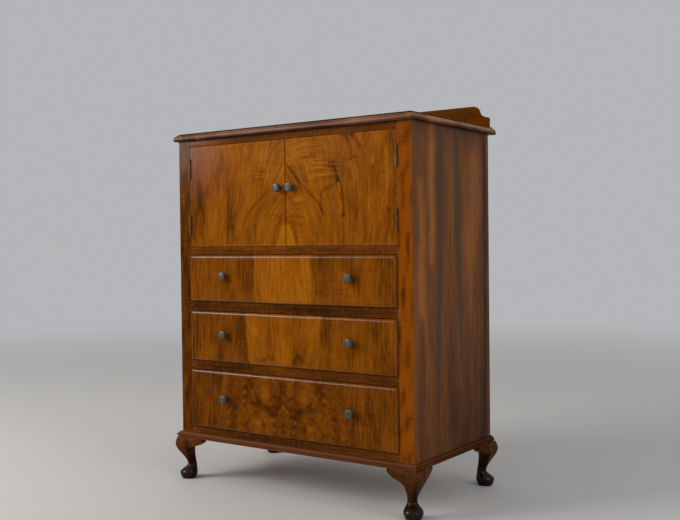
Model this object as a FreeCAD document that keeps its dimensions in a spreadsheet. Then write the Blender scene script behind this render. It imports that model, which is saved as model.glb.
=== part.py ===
import FreeCAD, Part
import math
import os
import re
import Sketcher

os.makedirs("parts", exist_ok=True)
doc = FreeCAD.newDocument("Tallboy")

# Driving sizes in millimetres, measured on the real piece from the floor up
SIZES = {
    # Carcass and its front, from the base up to the underside of the top
    "carcass_width": 864,
    "carcass_depth": 457,
    "stile_width": 47.5,
    "stile_thick": 22,
    "rail_depth": 60,
    "bottom_rail_height": 21,
    "opening_3_height": 184.5,
    "lower_rail_height": 26,
    "opening_2_height": 159,
    "upper_rail_height": 28,
    "opening_1_height": 147,
    "cupboard_rail_height": 25,
    "door_opening_height": 315,
    "top_rail_height": 20.5,
    "side_thick": 16,
    "side_groove": 4,
    "back_post_depth": 34,
    "back_post_width": 26,
    "back_panel_thick": 5,
    "cupboard_floor_thick": 9,
    # Top board and the gallery on its back edge
    "top_thick": 23,
    "top_fillet_height": 3,
    "top_fillet_in": 12,
    "top_side_out": 13,
    "top_front_out": 15,
    "top_back_out": 28,
    "top_round": 12,
    "gallery_thick": 13,
    "gallery_height": 69,
    "gallery_end_in": 19,
    "gallery_end_height": 31,
    "gallery_step_width": 18,
    "gallery_step_rise": 5,
    "gallery_cove_width": 14,
    "gallery_cove_rise": 15,
    "gallery_cove_radius": 20,
    "gallery_shoulder_radius": 22,
    # Base frame with its moulded edge
    "base_thick": 18,
    "base_board_width": 75,
    "base_lip_out": 15,
    "base_bead_in": 4,
    "base_bead_height": 6,
    "base_ovolo_in": 4.5,
    "base_ovolo_height": 8.5,
    "base_round": 8,
    # Cabriole legs
    "leg_height": 134,
    "leg_inner": 28,
    "leg_top_out": 12.5,
    "knee_out": 17.5,
    "knee_level": 112,
    "ankle_level": 46,
    "ankle_radius": 14,
    "ankle_in": 20.5,
    "pad_level": 19,
    "pad_radius": 27.7,
    "pad_in": 12.5,
    "sole_radius": 21,
    "ear_length": 58,
    "ear_root_drop": 38,
    "ear_tip_drop": 10,
    "ear_back": 16,
    "ear_tip_out": 5,
    "ear_tip_swell": 1,
    "glue_line": 0.2,
    # Doors, hinges and catches
    "door_thick": 18,
    "door_gap": 1,
    "door_meeting_gap": 1.2,
    "hinge_length": 63,
    "hinge_from_end": 70,
    "leaf_thick": 1.4,
    "leaf_width": 16,
    "knuckle_radius": 3.2,
    "knuckle_out": 2.2,
    "knuckle_play": 0.3,
    "pin_radius": 1.5,
    "pin_play": 0.05,
    "hinge_screw_radius": 1.5,
    "hinge_screw_head_radius": 3.2,
    "hinge_screw_length": 12,
    "hinge_screw_pitch": 21,
    "catch_radius": 4,
    "catch_length": 14,
    "catch_ball_radius": 3,
    "catch_ball_rise": 0.7,
    "catch_from_meeting": 60,
    "catch_plate_length": 24,
    "catch_plate_width": 10,
    "catch_plate_thick": 0.8,
    # Drawers
    "drawer_proud": 9,
    "drawer_front_thick": 22,
    "drawer_round": 9,
    "quirk_width": 1.2,
    "quirk_depth": 0.8,
    "drawer_side_gap": 1,
    "drawer_top_gap": 1.5,
    "drawer_front_lift": 1,
    "drawer_run_gap": 0.3,
    "drawer_side_thick": 10,
    "drawer_side_drop": 3,
    "drawer_lap": 10,
    "drawer_length": 425,
    "drawer_back_thick": 9,
    "drawer_back_drop": 6,
    "drawer_bottom_thick": 4.8,
    "drawer_bottom_lift": 8,
    "groove_depth": 5,
    "groove_play": 0.1,
    "runner_width": 46,
    "guide_height": 20,
    # Knobs
    "knob_width": 26,
    "knob_corner": 5,
    "knob_edge": 2.5,
    "knob_head_thick": 8,
    "knob_reach": 20,
    "knob_neck_foot": 8,
    "knob_neck_top": 5.5,
    "stud_radius": 2.5,
    "stud_play": 0.1,
    "nut_radius": 5,
    "nut_thick": 4,
    "drawer_knob_spread": 470,
    "drawer_knob_rise": 8,
    "door_knob_from_edge": 23.4,
    "door_knob_level": 172,
}

sheet = doc.addObject("Spreadsheet::Sheet", "Sizes")
for row, (alias, size) in enumerate(SIZES.items(), start=1):
    sheet.set(f"A{row}", alias)
    sheet.set(f"B{row}", str(size))
    sheet.setAlias(f"B{row}", alias)
doc.recompute()

# Places worked out from the sizes, as formulas
HALF_WIDTH = "(carcass_width / 2)"
HALF_OPENING = "(carcass_width / 2 - stile_width)"
FRONT = "(-(carcass_depth + top_back_out - drawer_proud - knob_reach) / 2)"
BACK = f"({FRONT} + carcass_depth)"
CARCASS_BASE = "(leg_height + base_thick)"
OPENING_3 = f"({CARCASS_BASE} + bottom_rail_height)"
OPENING_3_TOP = f"({OPENING_3} + opening_3_height)"
OPENING_2 = f"({OPENING_3_TOP} + lower_rail_height)"
OPENING_2_TOP = f"({OPENING_2} + opening_2_height)"
OPENING_1 = f"({OPENING_2_TOP} + upper_rail_height)"
OPENING_1_TOP = f"({OPENING_1} + opening_1_height)"
DOOR_OPENING = f"({OPENING_1_TOP} + cupboard_rail_height)"
DOOR_OPENING_TOP = f"({DOOR_OPENING} + door_opening_height)"
CARCASS_TOP = f"({DOOR_OPENING_TOP} + top_rail_height)"
INNER_SIDE = "(carcass_width / 2 - side_thick)"
POST_FRONT = f"({BACK} - back_post_depth)"
RAIL_BACK = f"({FRONT} + rail_depth)"
STILE_BACK = f"({FRONT} + stile_thick)"
PANEL_HALF = f"({HALF_WIDTH} - back_post_width)"
PANEL_FACE = f"({BACK} - back_panel_thick)"
CARCASS_LEVELS = (CARCASS_BASE, CARCASS_TOP)
BEHIND_RAILS = (RAIL_BACK, POST_FRONT)
RUNNER_INNER = f"({INNER_SIDE} - runner_width)"

nodes = {}


def bound(formula):
    """Formula with each size's name pointing at the table of sizes."""
    return re.sub(r"[a-z][a-z_0-9]*", lambda word: "Sizes." + word.group(0), formula)


def value(formula):
    """Number that a formula comes to, in millimetres."""
    return float(sheet.evalExpression(bound(formula)))


def keep(label, piece):
    """Names a finished piece and lists it for export."""
    piece.Label = label
    nodes[label] = piece
    return piece


def place(piece, x, y, z):
    for axis, formula in zip("xyz", (x, y, z)):
        piece.setExpression(f".Placement.Base.{axis}", bound(formula))


def block(x, y, z):
    """Squared board between two formulas on each axis."""
    box = doc.addObject("Part::Box", "Board")
    for side, (low, high) in zip(("Length", "Width", "Height"), (x, y, z)):
        box.setExpression(side, bound(f"({high}) - ({low})"))
    place(box, x[0], y[0], z[0])
    return box


def turned(radius, length, at, axis):
    """Round bar from a point along an axis."""
    bar = doc.addObject("Part::Cylinder", "Bar")
    bar.setExpression("Radius", bound(radius))
    bar.setExpression("Height", bound(length))
    bar.Placement.Rotation = FreeCAD.Rotation(FreeCAD.Vector(0, 0, 1), FreeCAD.Vector(*axis))
    place(bar, *at)
    return bar


def taper(foot, top, length, at, axis):
    """Round taper from a point along an axis."""
    cone = doc.addObject("Part::Cone", "Taper")
    cone.setExpression("Radius1", bound(foot))
    cone.setExpression("Radius2", bound(top))
    cone.setExpression("Height", bound(length))
    cone.Placement.Rotation = FreeCAD.Rotation(FreeCAD.Vector(0, 0, 1), FreeCAD.Vector(*axis))
    place(cone, *at)
    return cone


def group(pieces):
    """Separate solids that share one name."""
    together = doc.addObject("Part::Compound", "Group")
    together.Links = pieces
    return together


def joined(pieces):
    """Pieces made as one solid."""
    one = doc.addObject("Part::MultiFuse", "Joined")
    one.Shapes = pieces
    return one


def cut(base, tools):
    """A piece with others cut out of it."""
    result = doc.addObject("Part::Cut", "Cut")
    result.Base = base
    result.Tool = tools[0] if len(tools) == 1 else group(tools)
    return result


def outline_body(points, plane, depth, arcs=()):
    """Body with one outline, in formulas from its own corner, padded to a depth.

    An entry of arcs is (side number, radius formula, turn), where the sign of turn says which way it bows.
    """
    body = doc.addObject("PartDesign::Body", "Body")
    sketch = body.newObject("Sketcher::SketchObject", "Outline")
    origin_plane = next(f for f in body.Origin.OriginFeatures if f.Role == plane)
    sketch.AttachmentSupport = [(origin_plane, "")]
    sketch.MapMode = "FlatFace"
    spots = [FreeCAD.Vector(value(px), value(py), 0) for px, py in points]
    curved = {side: (radius, turn) for side, radius, turn in arcs}
    for side, start in enumerate(spots):
        end = spots[(side + 1) % len(spots)]
        if side in curved:
            radius, turn = curved[side]
            chord = end - start
            across = FreeCAD.Vector(-chord.y, chord.x, 0).normalize() * turn
            size = value(radius)
            rise = size - math.sqrt(size ** 2 - (chord.Length / 2) ** 2)
            sketch.addGeometry(Part.Arc(start, start + chord * 0.5 + across * rise, end), False)
        else:
            sketch.addGeometry(Part.LineSegment(start, end), False)
    ends = []
    for side in range(len(spots)):
        start = spots[side]
        first = sketch.getPoint(side, 1)
        ends.append((1, 2) if (first - start).Length < 1e-6 else (2, 1))
    for side in range(len(spots)):
        following = (side + 1) % len(spots)
        meeting = (side, ends[side][1], following, ends[following][0])
        sketch.addConstraint(Sketcher.Constraint("Coincident", *meeting))
    for side, (px, py) in enumerate(points):
        tip = ends[side][0]
        for kind, axis_line, formula in (("DistanceX", -2, px), ("DistanceY", -1, py)):
            if formula == "0":
                sketch.addConstraint(Sketcher.Constraint("PointOnObject", side, tip, axis_line))
            else:
                number = sketch.addConstraint(Sketcher.Constraint(kind, -1, 1, side, tip, value(formula)))
                sketch.setExpression(f"Constraints[{number}]", bound(formula))
        if side in curved:
            radius = curved[side][0]
            number = sketch.addConstraint(Sketcher.Constraint("Radius", side, value(radius)))
            sketch.setExpression(f"Constraints[{number}]", bound(radius))
    pad = body.newObject("PartDesign::Pad", "Pad")
    pad.Profile = sketch
    pad.setExpression("Length", bound(depth))
    doc.recompute()
    return body


def rectangle(width, height):
    return [("0", "0"), (width, "0"), (width, height), ("0", height)]


def rounded(body, is_chosen, radius):
    """Rounds the chosen edges of a body's last feature."""
    last = body.Tip
    chosen = [f"Edge{i + 1}" for i, edge in enumerate(last.Shape.Edges) if is_chosen(edge)]
    fillet = body.newObject("PartDesign::Fillet", "Round")
    fillet.Base = (last, chosen)
    fillet.setExpression("Radius", bound(radius))
    doc.recompute()
    return body


def lies_at(edge, axis, level):
    return all(abs(getattr(v.Point, axis) - level) < 1e-4 for v in edge.Vertexes)


# Stiles, sides and back posts
def hinge_levels():
    low = f"({DOOR_OPENING} + door_gap + hinge_from_end - hinge_length / 2)"
    high = f"({DOOR_OPENING_TOP} - door_gap - hinge_from_end - hinge_length / 2)"
    return [low, high]


PIN_X = f"({HALF_OPENING} - door_gap / 2)"
PIN_Y = f"({FRONT} - knuckle_out)"
LEAF_FOOT = f"({FRONT} + knuckle_radius - knuckle_out + knuckle_play)"
SCREWS_PER_LEAF = 3


def across(side, near, far):
    """Span on X for the right side as written, or for the left side mirrored."""
    return (near, far) if side > 0 else (f"-({far})", f"-({near})")


def at_x(side, formula):
    return formula if side > 0 else f"-({formula})"


def screw_levels(low):
    first = f"{low} + hinge_length / 2 - hinge_screw_pitch * {(SCREWS_PER_LEAF - 1) / 2}"
    return [f"{first} + hinge_screw_pitch * {i}" for i in range(SCREWS_PER_LEAF)]


SCREW_Y = f"({LEAF_FOOT} + leaf_width / 2)"


def leaf_pockets(side, wood, pocket_side):
    """What a pair of hinges takes out of a stile (pocket_side 1) or a door edge (pocket_side -1)."""
    tools = []
    inward = (side * pocket_side, 0, 0)
    for low in hinge_levels():
        high = f"{low} + hinge_length"
        seat = f"{wood} + leaf_thick * {pocket_side}"
        span = (wood, seat) if pocket_side > 0 else (seat, wood)
        tools.append(block(across(side, *span), (FRONT, f"{LEAF_FOOT} + leaf_width"), (low, high)))
        room = f"{PIN_X} + (knuckle_radius + knuckle_play) * {pocket_side}"
        span = (PIN_X, room) if pocket_side > 0 else (room, PIN_X)
        tools.append(block(across(side, *span), (FRONT, LEAF_FOOT), (low, high)))
        for level in screw_levels(low):
            start = (at_x(side, seat), SCREW_Y, level)
            tools.append(turned("hinge_screw_radius", "hinge_screw_length", start, inward))
    return tools


STILE_EDGE = HALF_OPENING
DOOR_EDGE = f"({HALF_OPENING} - door_gap)"

for name, side in (("left", -1), ("right", 1)):
    stile = block(across(side, HALF_OPENING, HALF_WIDTH), (FRONT, STILE_BACK), CARCASS_LEVELS)
    keep(f"stile_{name}", cut(stile, leaf_pockets(side, STILE_EDGE, 1)))
    panel = block(across(side, INNER_SIDE, HALF_WIDTH), (STILE_BACK, POST_FRONT), CARCASS_LEVELS)
    groove = block(across(side, f"{HALF_WIDTH} - side_groove", HALF_WIDTH),
                   (f"{POST_FRONT} - side_groove", POST_FRONT), CARCASS_LEVELS)
    keep(f"side_{name}", cut(panel, [groove]))
    post = block(across(side, PANEL_HALF, HALF_WIDTH), (POST_FRONT, BACK), CARCASS_LEVELS)
    keep(f"back_post_{name}", post)

# Front rails between the stiles
BETWEEN_STILES = (f"-{HALF_OPENING}", HALF_OPENING)
RAILS = {
    "bottom_rail": (CARCASS_BASE, OPENING_3),
    "drawer_rail_lower": (OPENING_3_TOP, OPENING_2),
    "drawer_rail_upper": (OPENING_2_TOP, OPENING_1),
    "cupboard_rail": (OPENING_1_TOP, DOOR_OPENING),
}
for name, levels in RAILS.items():
    keep(name, block(BETWEEN_STILES, (FRONT, RAIL_BACK), levels))

# Catch in the top edge of each door, and its plate in the top rail
CATCH_X = "catch_from_meeting"
CATCH_Y = f"({FRONT} + door_thick / 2)"
DOOR_TOP = f"({DOOR_OPENING_TOP} - door_gap)"
PLATE_LEVELS = (DOOR_OPENING_TOP, f"{DOOR_OPENING_TOP} + catch_plate_thick")


def catch_plate(side):
    middle = at_x(side, CATCH_X)
    return block((f"{middle} - catch_plate_length / 2", f"{middle} + catch_plate_length / 2"),
                 (f"{CATCH_Y} - catch_plate_width / 2", f"{CATCH_Y} + catch_plate_width / 2"), PLATE_LEVELS)


top_rail = block(BETWEEN_STILES, (FRONT, RAIL_BACK), (DOOR_OPENING_TOP, CARCASS_TOP))
keep("top_rail", cut(top_rail, [catch_plate(-1), catch_plate(1)]))
keep("catch_plates", group([catch_plate(-1), catch_plate(1)]))

# Cupboard floor on its bearers, and the back panel
FLOOR_UNDERSIDE = f"({DOOR_OPENING} - cupboard_floor_thick)"
FLOOR_LEVELS = (FLOOR_UNDERSIDE, DOOR_OPENING)
keep("cupboard_floor", joined([
    block((f"-{INNER_SIDE}", INNER_SIDE), BEHIND_RAILS, FLOOR_LEVELS),
    block((f"-{PANEL_HALF}", PANEL_HALF), (RAIL_BACK, PANEL_FACE), FLOOR_LEVELS)]))
keep("floor_bearers", group([
    block(across(side, RUNNER_INNER, INNER_SIDE), BEHIND_RAILS, (OPENING_1_TOP, FLOOR_UNDERSIDE))
    for side in (-1, 1)]))
keep("back_panel", block((f"-{PANEL_HALF}", PANEL_HALF), (PANEL_FACE, BACK), CARCASS_LEVELS))

# Top board: a thin fillet above front and side edges that are rounded
TOP_WIDTH = "(carcass_width + 2 * top_side_out)"
TOP_DEPTH = "(carcass_depth + top_front_out + top_back_out)"
TOP_FRONT = f"({FRONT} - top_front_out)"
TOP_BACK = f"({BACK} + top_back_out)"
NOSE_THICK = "(top_thick - top_fillet_height)"
nose = outline_body(rectangle(TOP_WIDTH, TOP_DEPTH), "XY_Plane", NOSE_THICK)
nose_level = value(NOSE_THICK)
nose_back = value(TOP_DEPTH)
rounded(nose, lambda edge: lies_at(edge, "z", nose_level) and not lies_at(edge, "y", nose_back), "top_round")
place(nose, f"-{TOP_WIDTH} / 2", TOP_FRONT, CARCASS_TOP)
fillet = block((f"-{TOP_WIDTH} / 2 + top_fillet_in", f"{TOP_WIDTH} / 2 - top_fillet_in"),
               (f"{TOP_FRONT} + top_fillet_in", TOP_BACK),
               (f"{CARCASS_TOP} + {NOSE_THICK}", f"{CARCASS_TOP} + top_thick"))
keep("top_board", joined([nose, fillet]))

# Gallery: upright ends, a short step, a cove and a rounded shoulder at each end
GALLERY_LENGTH = f"({TOP_WIDTH} - 2 * gallery_end_in)"
STEP_TOP = "(gallery_end_height + gallery_step_rise)"
COVE_TOP = f"({STEP_TOP} + gallery_cove_rise)"
COVE_IN = "(gallery_step_width + gallery_cove_width)"
SHOULDER_IN = f"({COVE_IN} + gallery_shoulder_radius)"
half_outline = [
    ("0", "0"),
    ("0", "gallery_end_height"),
    ("gallery_step_width", STEP_TOP),
    (COVE_IN, COVE_TOP),
    (SHOULDER_IN, "gallery_height"),
]
other_half = [(f"{GALLERY_LENGTH} - {px}", py) for px, py in reversed(half_outline)]
COVE, SHOULDER = 2, 3
last_side = len(half_outline) * 2 - 2
gallery_arcs = [
    (COVE, "gallery_cove_radius", -1),
    (SHOULDER, "gallery_shoulder_radius", 1),
    (last_side - SHOULDER, "gallery_shoulder_radius", 1),
    (last_side - COVE, "gallery_cove_radius", -1),
]
gallery = outline_body(half_outline + other_half, "XZ_Plane", "gallery_thick", gallery_arcs)
place(gallery, f"-{GALLERY_LENGTH} / 2", TOP_BACK, f"{CARCASS_TOP} + top_thick")
keep("gallery", gallery)

# Base frame: mitred boards, a rounded member above a square lip and a smaller bead
BASE_LENGTH = "(carcass_width + 2 * base_lip_out)"
BASE_DEPTH = "(carcass_depth + base_lip_out)"
BOARD = "base_board_width"
LIP_FRONT = f"({FRONT} - base_lip_out)"


def base_board(points, moulded_edge, at):
    """Board in three layers: the lip stands out furthest, between a rounded member and a bead."""
    ovolo = outline_body(points("base_ovolo_in"), "XY_Plane", "base_ovolo_height")
    level, inset = value("base_ovolo_height"), value("base_ovolo_in")
    rounded(ovolo, lambda edge: lies_at(edge, "z", level) and moulded_edge(edge, inset), "base_round")
    lip = outline_body(points("0"), "XY_Plane", "base_thick - base_bead_height - base_ovolo_height")
    bead = outline_body(points("base_bead_in"), "XY_Plane", "base_bead_height")
    lifts = (f"{CARCASS_BASE} - base_ovolo_height", "leg_height + base_bead_height", "leg_height")
    for layer, lift in zip((ovolo, lip, bead), lifts):
        place(layer, at[0], at[1], lift)
    return joined([ovolo, lip, bead])


def front_points(inset):
    """Outline of the front board, mitred at both ends."""
    far = f"{BASE_LENGTH} - {inset}"
    return [(inset, inset), (far, inset), (f"{BASE_LENGTH} - {BOARD}", BOARD), (BOARD, BOARD)]


def left_points(inset):
    return [(inset, inset), (BOARD, BOARD), (BOARD, BASE_DEPTH), (inset, BASE_DEPTH)]


def right_points(inset):
    edge = f"{BOARD} - {inset}"
    return [(edge, inset), (edge, BASE_DEPTH), ("0", BASE_DEPTH), ("0", BOARD)]


board_width = value(BOARD)
keep("base_rail_front", base_board(front_points, lambda edge, inset: lies_at(edge, "y", inset),
                                   (f"-{BASE_LENGTH} / 2", LIP_FRONT)))
keep("base_rail_left", base_board(left_points, lambda edge, inset: lies_at(edge, "x", inset),
                                  (f"-{BASE_LENGTH} / 2", LIP_FRONT)))
keep("base_rail_right", base_board(right_points, lambda edge, inset: lies_at(edge, "x", board_width - inset),
                                   (f"{BASE_LENGTH} / 2 - {BOARD}", LIP_FRONT)))
BASE_INNER = f"({BASE_LENGTH} / 2 - {BOARD})"
keep("base_rail_back", block((f"-{BASE_INNER}", BASE_INNER), (f"{BACK} - {BOARD}", BACK),
                             ("leg_height", CARCASS_BASE)))


# Cabriole legs, drawn for the front left corner: the carcass corner is the origin and outwards is minus
KNEE_CORNER_SHARE = 0.08
FULLEST_CORNER_SHARE = 0.98
BACK_BEND = 2.5
ROUNDING_BEND = 1.5
HEAD_STEPS = 2
CALF_STEPS = 6
FOOT_STEPS = 5
SOLE_STEPS = 3
EAR_STATIONS = (0, 0.25, 0.55, 0.85, 1)
EAR_COVE_SHARE = 0.62
EAR_COVE_BEND = 0.6
EAR_TIP_BEND = 4
EAR_BELLY_DROP = 0.55


def rounded_square(low, high, roundness, level):
    """Square between two marks on both axes, its corners rounded, as a closed wire."""
    half = (high - low) / 2
    corner = min(roundness, FULLEST_CORNER_SHARE) * half
    slant = corner * (1 - math.sqrt(0.5))
    middle = FreeCAD.Vector(low + half, low + half, level)
    edges = []
    for quarter in range(4):
        turn = FreeCAD.Rotation(FreeCAD.Vector(0, 0, 1), 90 * quarter)
        arc = [(half - corner, -half), (half - slant, -half + slant), (half, -half + corner)]
        local = [(-half + corner, -half)] + arc
        spots = [middle + turn.multVec(FreeCAD.Vector(px, py, 0)) for px, py in local]
        edges.append(Part.LineSegment(spots[0], spots[1]).toShape())
        edges.append(Part.Arc(spots[1], spots[2], spots[3]).toShape())
    return Part.Wire(edges)


def ease(share):
    """Slow at both ends, from 0 to 1."""
    return (1 - math.cos(math.pi * share)) / 2


def leg_blank():
    top, knee, ankle = value("leg_height"), value("knee_level"), value("ankle_level")
    pad, inner = value("pad_level"), value("leg_inner")
    top_out, knee_out = value("leg_top_out"), value("knee_out")
    ankle_in, ankle_radius = value("ankle_in"), value("ankle_radius")
    pad_in, pad_radius, sole_radius = value("pad_in"), value("pad_radius"), value("sole_radius")
    rings = []
    for step in range(HEAD_STEPS):
        share = step / HEAD_STEPS
        out = top_out + (knee_out - top_out) * math.sin(math.pi / 2 * share)
        rings.append((-out, inner, KNEE_CORNER_SHARE, top + (knee - top) * share))
    for step in range(CALF_STEPS + 1):
        share = step / CALF_STEPS
        front = -knee_out + (ankle_in - ankle_radius + knee_out) * ease(share)
        back = inner + (ankle_in + ankle_radius - inner) * share ** BACK_BEND
        roundness = KNEE_CORNER_SHARE + (1 - KNEE_CORNER_SHARE) * share ** ROUNDING_BEND
        rings.append((front, back, roundness, knee + (ankle - knee) * share))
    for step in range(1, FOOT_STEPS + 1):
        share = step / FOOT_STEPS
        centre = ankle_in + (pad_in - ankle_in) * ease(share)
        radius = ankle_radius + (pad_radius - ankle_radius) * ease(share)
        rings.append((centre - radius, centre + radius, 1, ankle + (pad - ankle) * share))
    for step in range(1, SOLE_STEPS + 1):
        share = step / SOLE_STEPS
        radius = sole_radius + (pad_radius - sole_radius) * math.cos(math.pi / 2 * share)
        rings.append((pad_in - radius, pad_in + radius, 1, pad * (1 - share)))
    return Part.makeLoft([rounded_square(*ring) for ring in rings], True)


def knee_block():
    """Ear beside the knee along X, its face falling back and its lower edge rising to the tip."""
    top, inner = value("leg_height"), value("leg_inner") + value("glue_line")
    top_out, knee_out, tip_out = value("leg_top_out"), value("knee_out"), value("ear_tip_out")
    back, length, tip_swell = value("ear_back"), value("ear_length"), value("ear_tip_swell")
    root_drop, tip_drop = value("ear_root_drop"), value("ear_tip_drop")
    rings = []
    for share in EAR_STATIONS:
        rise = EAR_COVE_SHARE * share ** EAR_COVE_BEND + (1 - EAR_COVE_SHARE) * share ** EAR_TIP_BEND
        drop = root_drop + (tip_drop - root_drop) * rise
        low = top - drop
        upper_out = top_out + (tip_out - top_out) * share
        belly_out = knee_out + (tip_out + tip_swell - knee_out) * share
        lower_out = (upper_out + belly_out) / 2
        along = inner + length * share
        corners = [(-upper_out, top), (back, top), (back, low), (-lower_out, low)]
        spots = [FreeCAD.Vector(along, py, pz) for py, pz in corners]
        belly = FreeCAD.Vector(along, -belly_out, top - drop * EAR_BELLY_DROP)
        edges = [Part.LineSegment(spots[i], spots[i + 1]).toShape() for i in range(3)]
        edges.append(Part.Arc(spots[3], belly, spots[0]).toShape())
        rings.append(Part.Wire(edges))
    return Part.makeLoft(rings, True)


def mirrored_over_diagonal(shape):
    return shape.mirror(FreeCAD.Vector(0, 0, 0), FreeCAD.Vector(1, -1, 0))


ear = knee_block()
leg_shape = Part.makeCompound([leg_blank(), ear, mirrored_over_diagonal(ear)])
LEG_CORNERS = {
    "leg_front_left": (f"-{HALF_WIDTH}", FRONT, 0),
    "leg_front_right": (HALF_WIDTH, FRONT, 90),
    "leg_back_right": (HALF_WIDTH, BACK, 180),
    "leg_back_left": (f"-{HALF_WIDTH}", BACK, 270),
}
for name, (x, y, turn) in LEG_CORNERS.items():
    leg = doc.addObject("Part::Feature", "Leg")
    leg.Shape = leg_shape
    corner = FreeCAD.Vector(value(x), value(y), 0)
    leg.Placement = FreeCAD.Placement(corner, FreeCAD.Rotation(FreeCAD.Vector(0, 0, 1), turn))
    keep(name, leg)


# Knobs: a square head on a round neck, with a stud and nut behind
def knob(x, y, z, hold_thick):
    """One knob whose neck stands on the plane y, and its nut behind a board of the given thickness."""
    head = outline_body(rectangle("knob_width", "knob_width"), "XZ_Plane", "knob_head_thick")
    thick = value("knob_head_thick")
    rounded(head, lambda edge: edge.BoundBox.YLength > thick / 2, "knob_corner")
    rounded(head, lambda edge: lies_at(edge, "y", -thick), "knob_edge")
    place(head, f"{x} - knob_width / 2", f"{y} - knob_reach + knob_head_thick", f"{z} - knob_width / 2")
    neck = taper("knob_neck_foot", "knob_neck_top", "knob_reach - knob_head_thick", (x, y, z), (0, -1, 0))
    stud = turned("stud_radius", f"{hold_thick} + nut_thick", (x, y, z), (0, 1, 0))
    nut_blank = doc.addObject("Part::Prism", "Nut")
    nut_blank.Polygon = 6
    nut_blank.setExpression("Circumradius", bound("nut_radius"))
    nut_blank.setExpression("Height", bound("nut_thick"))
    nut_blank.Placement.Rotation = FreeCAD.Rotation(FreeCAD.Vector(0, 0, 1), FreeCAD.Vector(0, 1, 0))
    place(nut_blank, x, f"{y} + {hold_thick}", z)
    bore = turned("stud_radius + stud_play", "nut_thick", (x, f"{y} + {hold_thick}", z), (0, 1, 0))
    return joined([head, neck, stud]), cut(nut_blank, [bore])


def stud_hole(x, y, z, hold_thick):
    return turned("stud_radius + stud_play", hold_thick, (x, y, z), (0, 1, 0))


# Hinges: leaves let into stile and door, three knuckles on one pin
def hinge_leaf(side, low, wood, pocket_side, knuckles):
    """One leaf with the knuckles given as shares of its length."""
    seat = f"{wood} + leaf_thick * {pocket_side}"
    span = (wood, seat) if pocket_side > 0 else (seat, wood)
    levels = (low, f"{low} + hinge_length")
    plate = block(across(side, *span), (LEAF_FOOT, f"{LEAF_FOOT} + leaf_width"), levels)
    pieces = [plate]
    for start, end in knuckles:
        first = f"{low} + hinge_length * {start} + knuckle_play * {1 if start > 0 else 0}"
        last = f"{low} + hinge_length * {end} - knuckle_play * {1 if end < 1 else 0}"
        start = (at_x(side, PIN_X), PIN_Y, first)
        pieces.append(turned("knuckle_radius", f"({last}) - ({first})", start, (0, 0, 1)))
        pieces.append(block(across(side, *span), (PIN_Y, f"{LEAF_FOOT} + leaf_thick"), (first, last)))
    whole = joined(pieces)
    holes = [turned("pin_radius + pin_play", "hinge_length", (at_x(side, PIN_X), PIN_Y, low), (0, 0, 1))]
    screws = []
    for level in screw_levels(low):
        start = (at_x(side, wood), SCREW_Y, level)
        sink = (side * pocket_side, 0, 0)
        holes.append(taper("hinge_screw_head_radius", "hinge_screw_radius", "leaf_thick", start, sink))
        head = taper("hinge_screw_head_radius", "hinge_screw_radius", "leaf_thick", start, sink)
        shank = turned("hinge_screw_radius", "hinge_screw_length", (at_x(side, seat), SCREW_Y, level), sink)
        screws.append(joined([head, shank]))
    return [cut(whole, holes)] + screws


OUTER_KNUCKLES = ((0, 1 / 3), (2 / 3, 1))
MIDDLE_KNUCKLE = ((1 / 3, 2 / 3),)
pins = []
for name, side in (("left", -1), ("right", 1)):
    carcass_leaves = []
    door_leaves = []
    for low in hinge_levels():
        carcass_leaves += hinge_leaf(side, low, STILE_EDGE, 1, OUTER_KNUCKLES)
        door_leaves += hinge_leaf(side, low, DOOR_EDGE, -1, MIDDLE_KNUCKLE)
        pins.append(turned("pin_radius", "hinge_length", (at_x(side, PIN_X), PIN_Y, low), (0, 0, 1)))
    keep(f"hinge_leaves_{name}", group(carcass_leaves))
    keep(f"door_{name}_hinge_leaves", group(door_leaves))
keep("hinge_pins", group(pins))

# Doors
DOOR_INNER = "door_meeting_gap / 2"
for name, side in (("left", -1), ("right", 1)):
    slab = block(across(side, DOOR_INNER, DOOR_EDGE), (FRONT, f"{FRONT} + door_thick"),
                 (f"{DOOR_OPENING} + door_gap", DOOR_TOP))
    knob_x = at_x(side, "door_knob_from_edge")
    knob_z = f"({DOOR_OPENING} + door_knob_level)"
    catch_at = (at_x(side, CATCH_X), CATCH_Y, f"{DOOR_TOP} - catch_length")
    holes = leaf_pockets(side, DOOR_EDGE, -1)
    holes.append(stud_hole(knob_x, FRONT, knob_z, "door_thick"))
    holes.append(turned("catch_radius", "catch_length", catch_at, (0, 0, 1)))
    keep(f"door_{name}_panel", cut(slab, holes))
    keep(f"door_{name}_knob", group(list(knob(knob_x, FRONT, knob_z, "door_thick"))))
    barrel = turned("catch_radius", "catch_length", catch_at, (0, 0, 1))
    ball = doc.addObject("Part::Sphere", "Ball")
    ball.setExpression("Radius", bound("catch_ball_radius"))
    place(ball, catch_at[0], CATCH_Y, f"{DOOR_TOP} + catch_ball_rise - catch_ball_radius")
    keep(f"door_{name}_catch", joined([barrel, ball]))

# Drawers, each with its runners and guides
DRAWERS = {
    1: (OPENING_1, "opening_1_height", "upper_rail_height"),
    2: (OPENING_2, "opening_2_height", "lower_rail_height"),
    3: (OPENING_3, "opening_3_height", "bottom_rail_height"),
}
DRAWER_HALF = f"({HALF_OPENING} - drawer_side_gap)"
FACE = f"({FRONT} - drawer_proud)"
FRONT_BACK = f"({FACE} + drawer_front_thick)"
LAP = f"({FRONT_BACK} - drawer_lap)"
DRAWER_BACK = f"({FRONT} + drawer_length)"
INNER_HALF = f"({DRAWER_HALF} - drawer_side_thick)"
GROOVE_HALF = f"({INNER_HALF} + groove_depth)"


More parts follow.
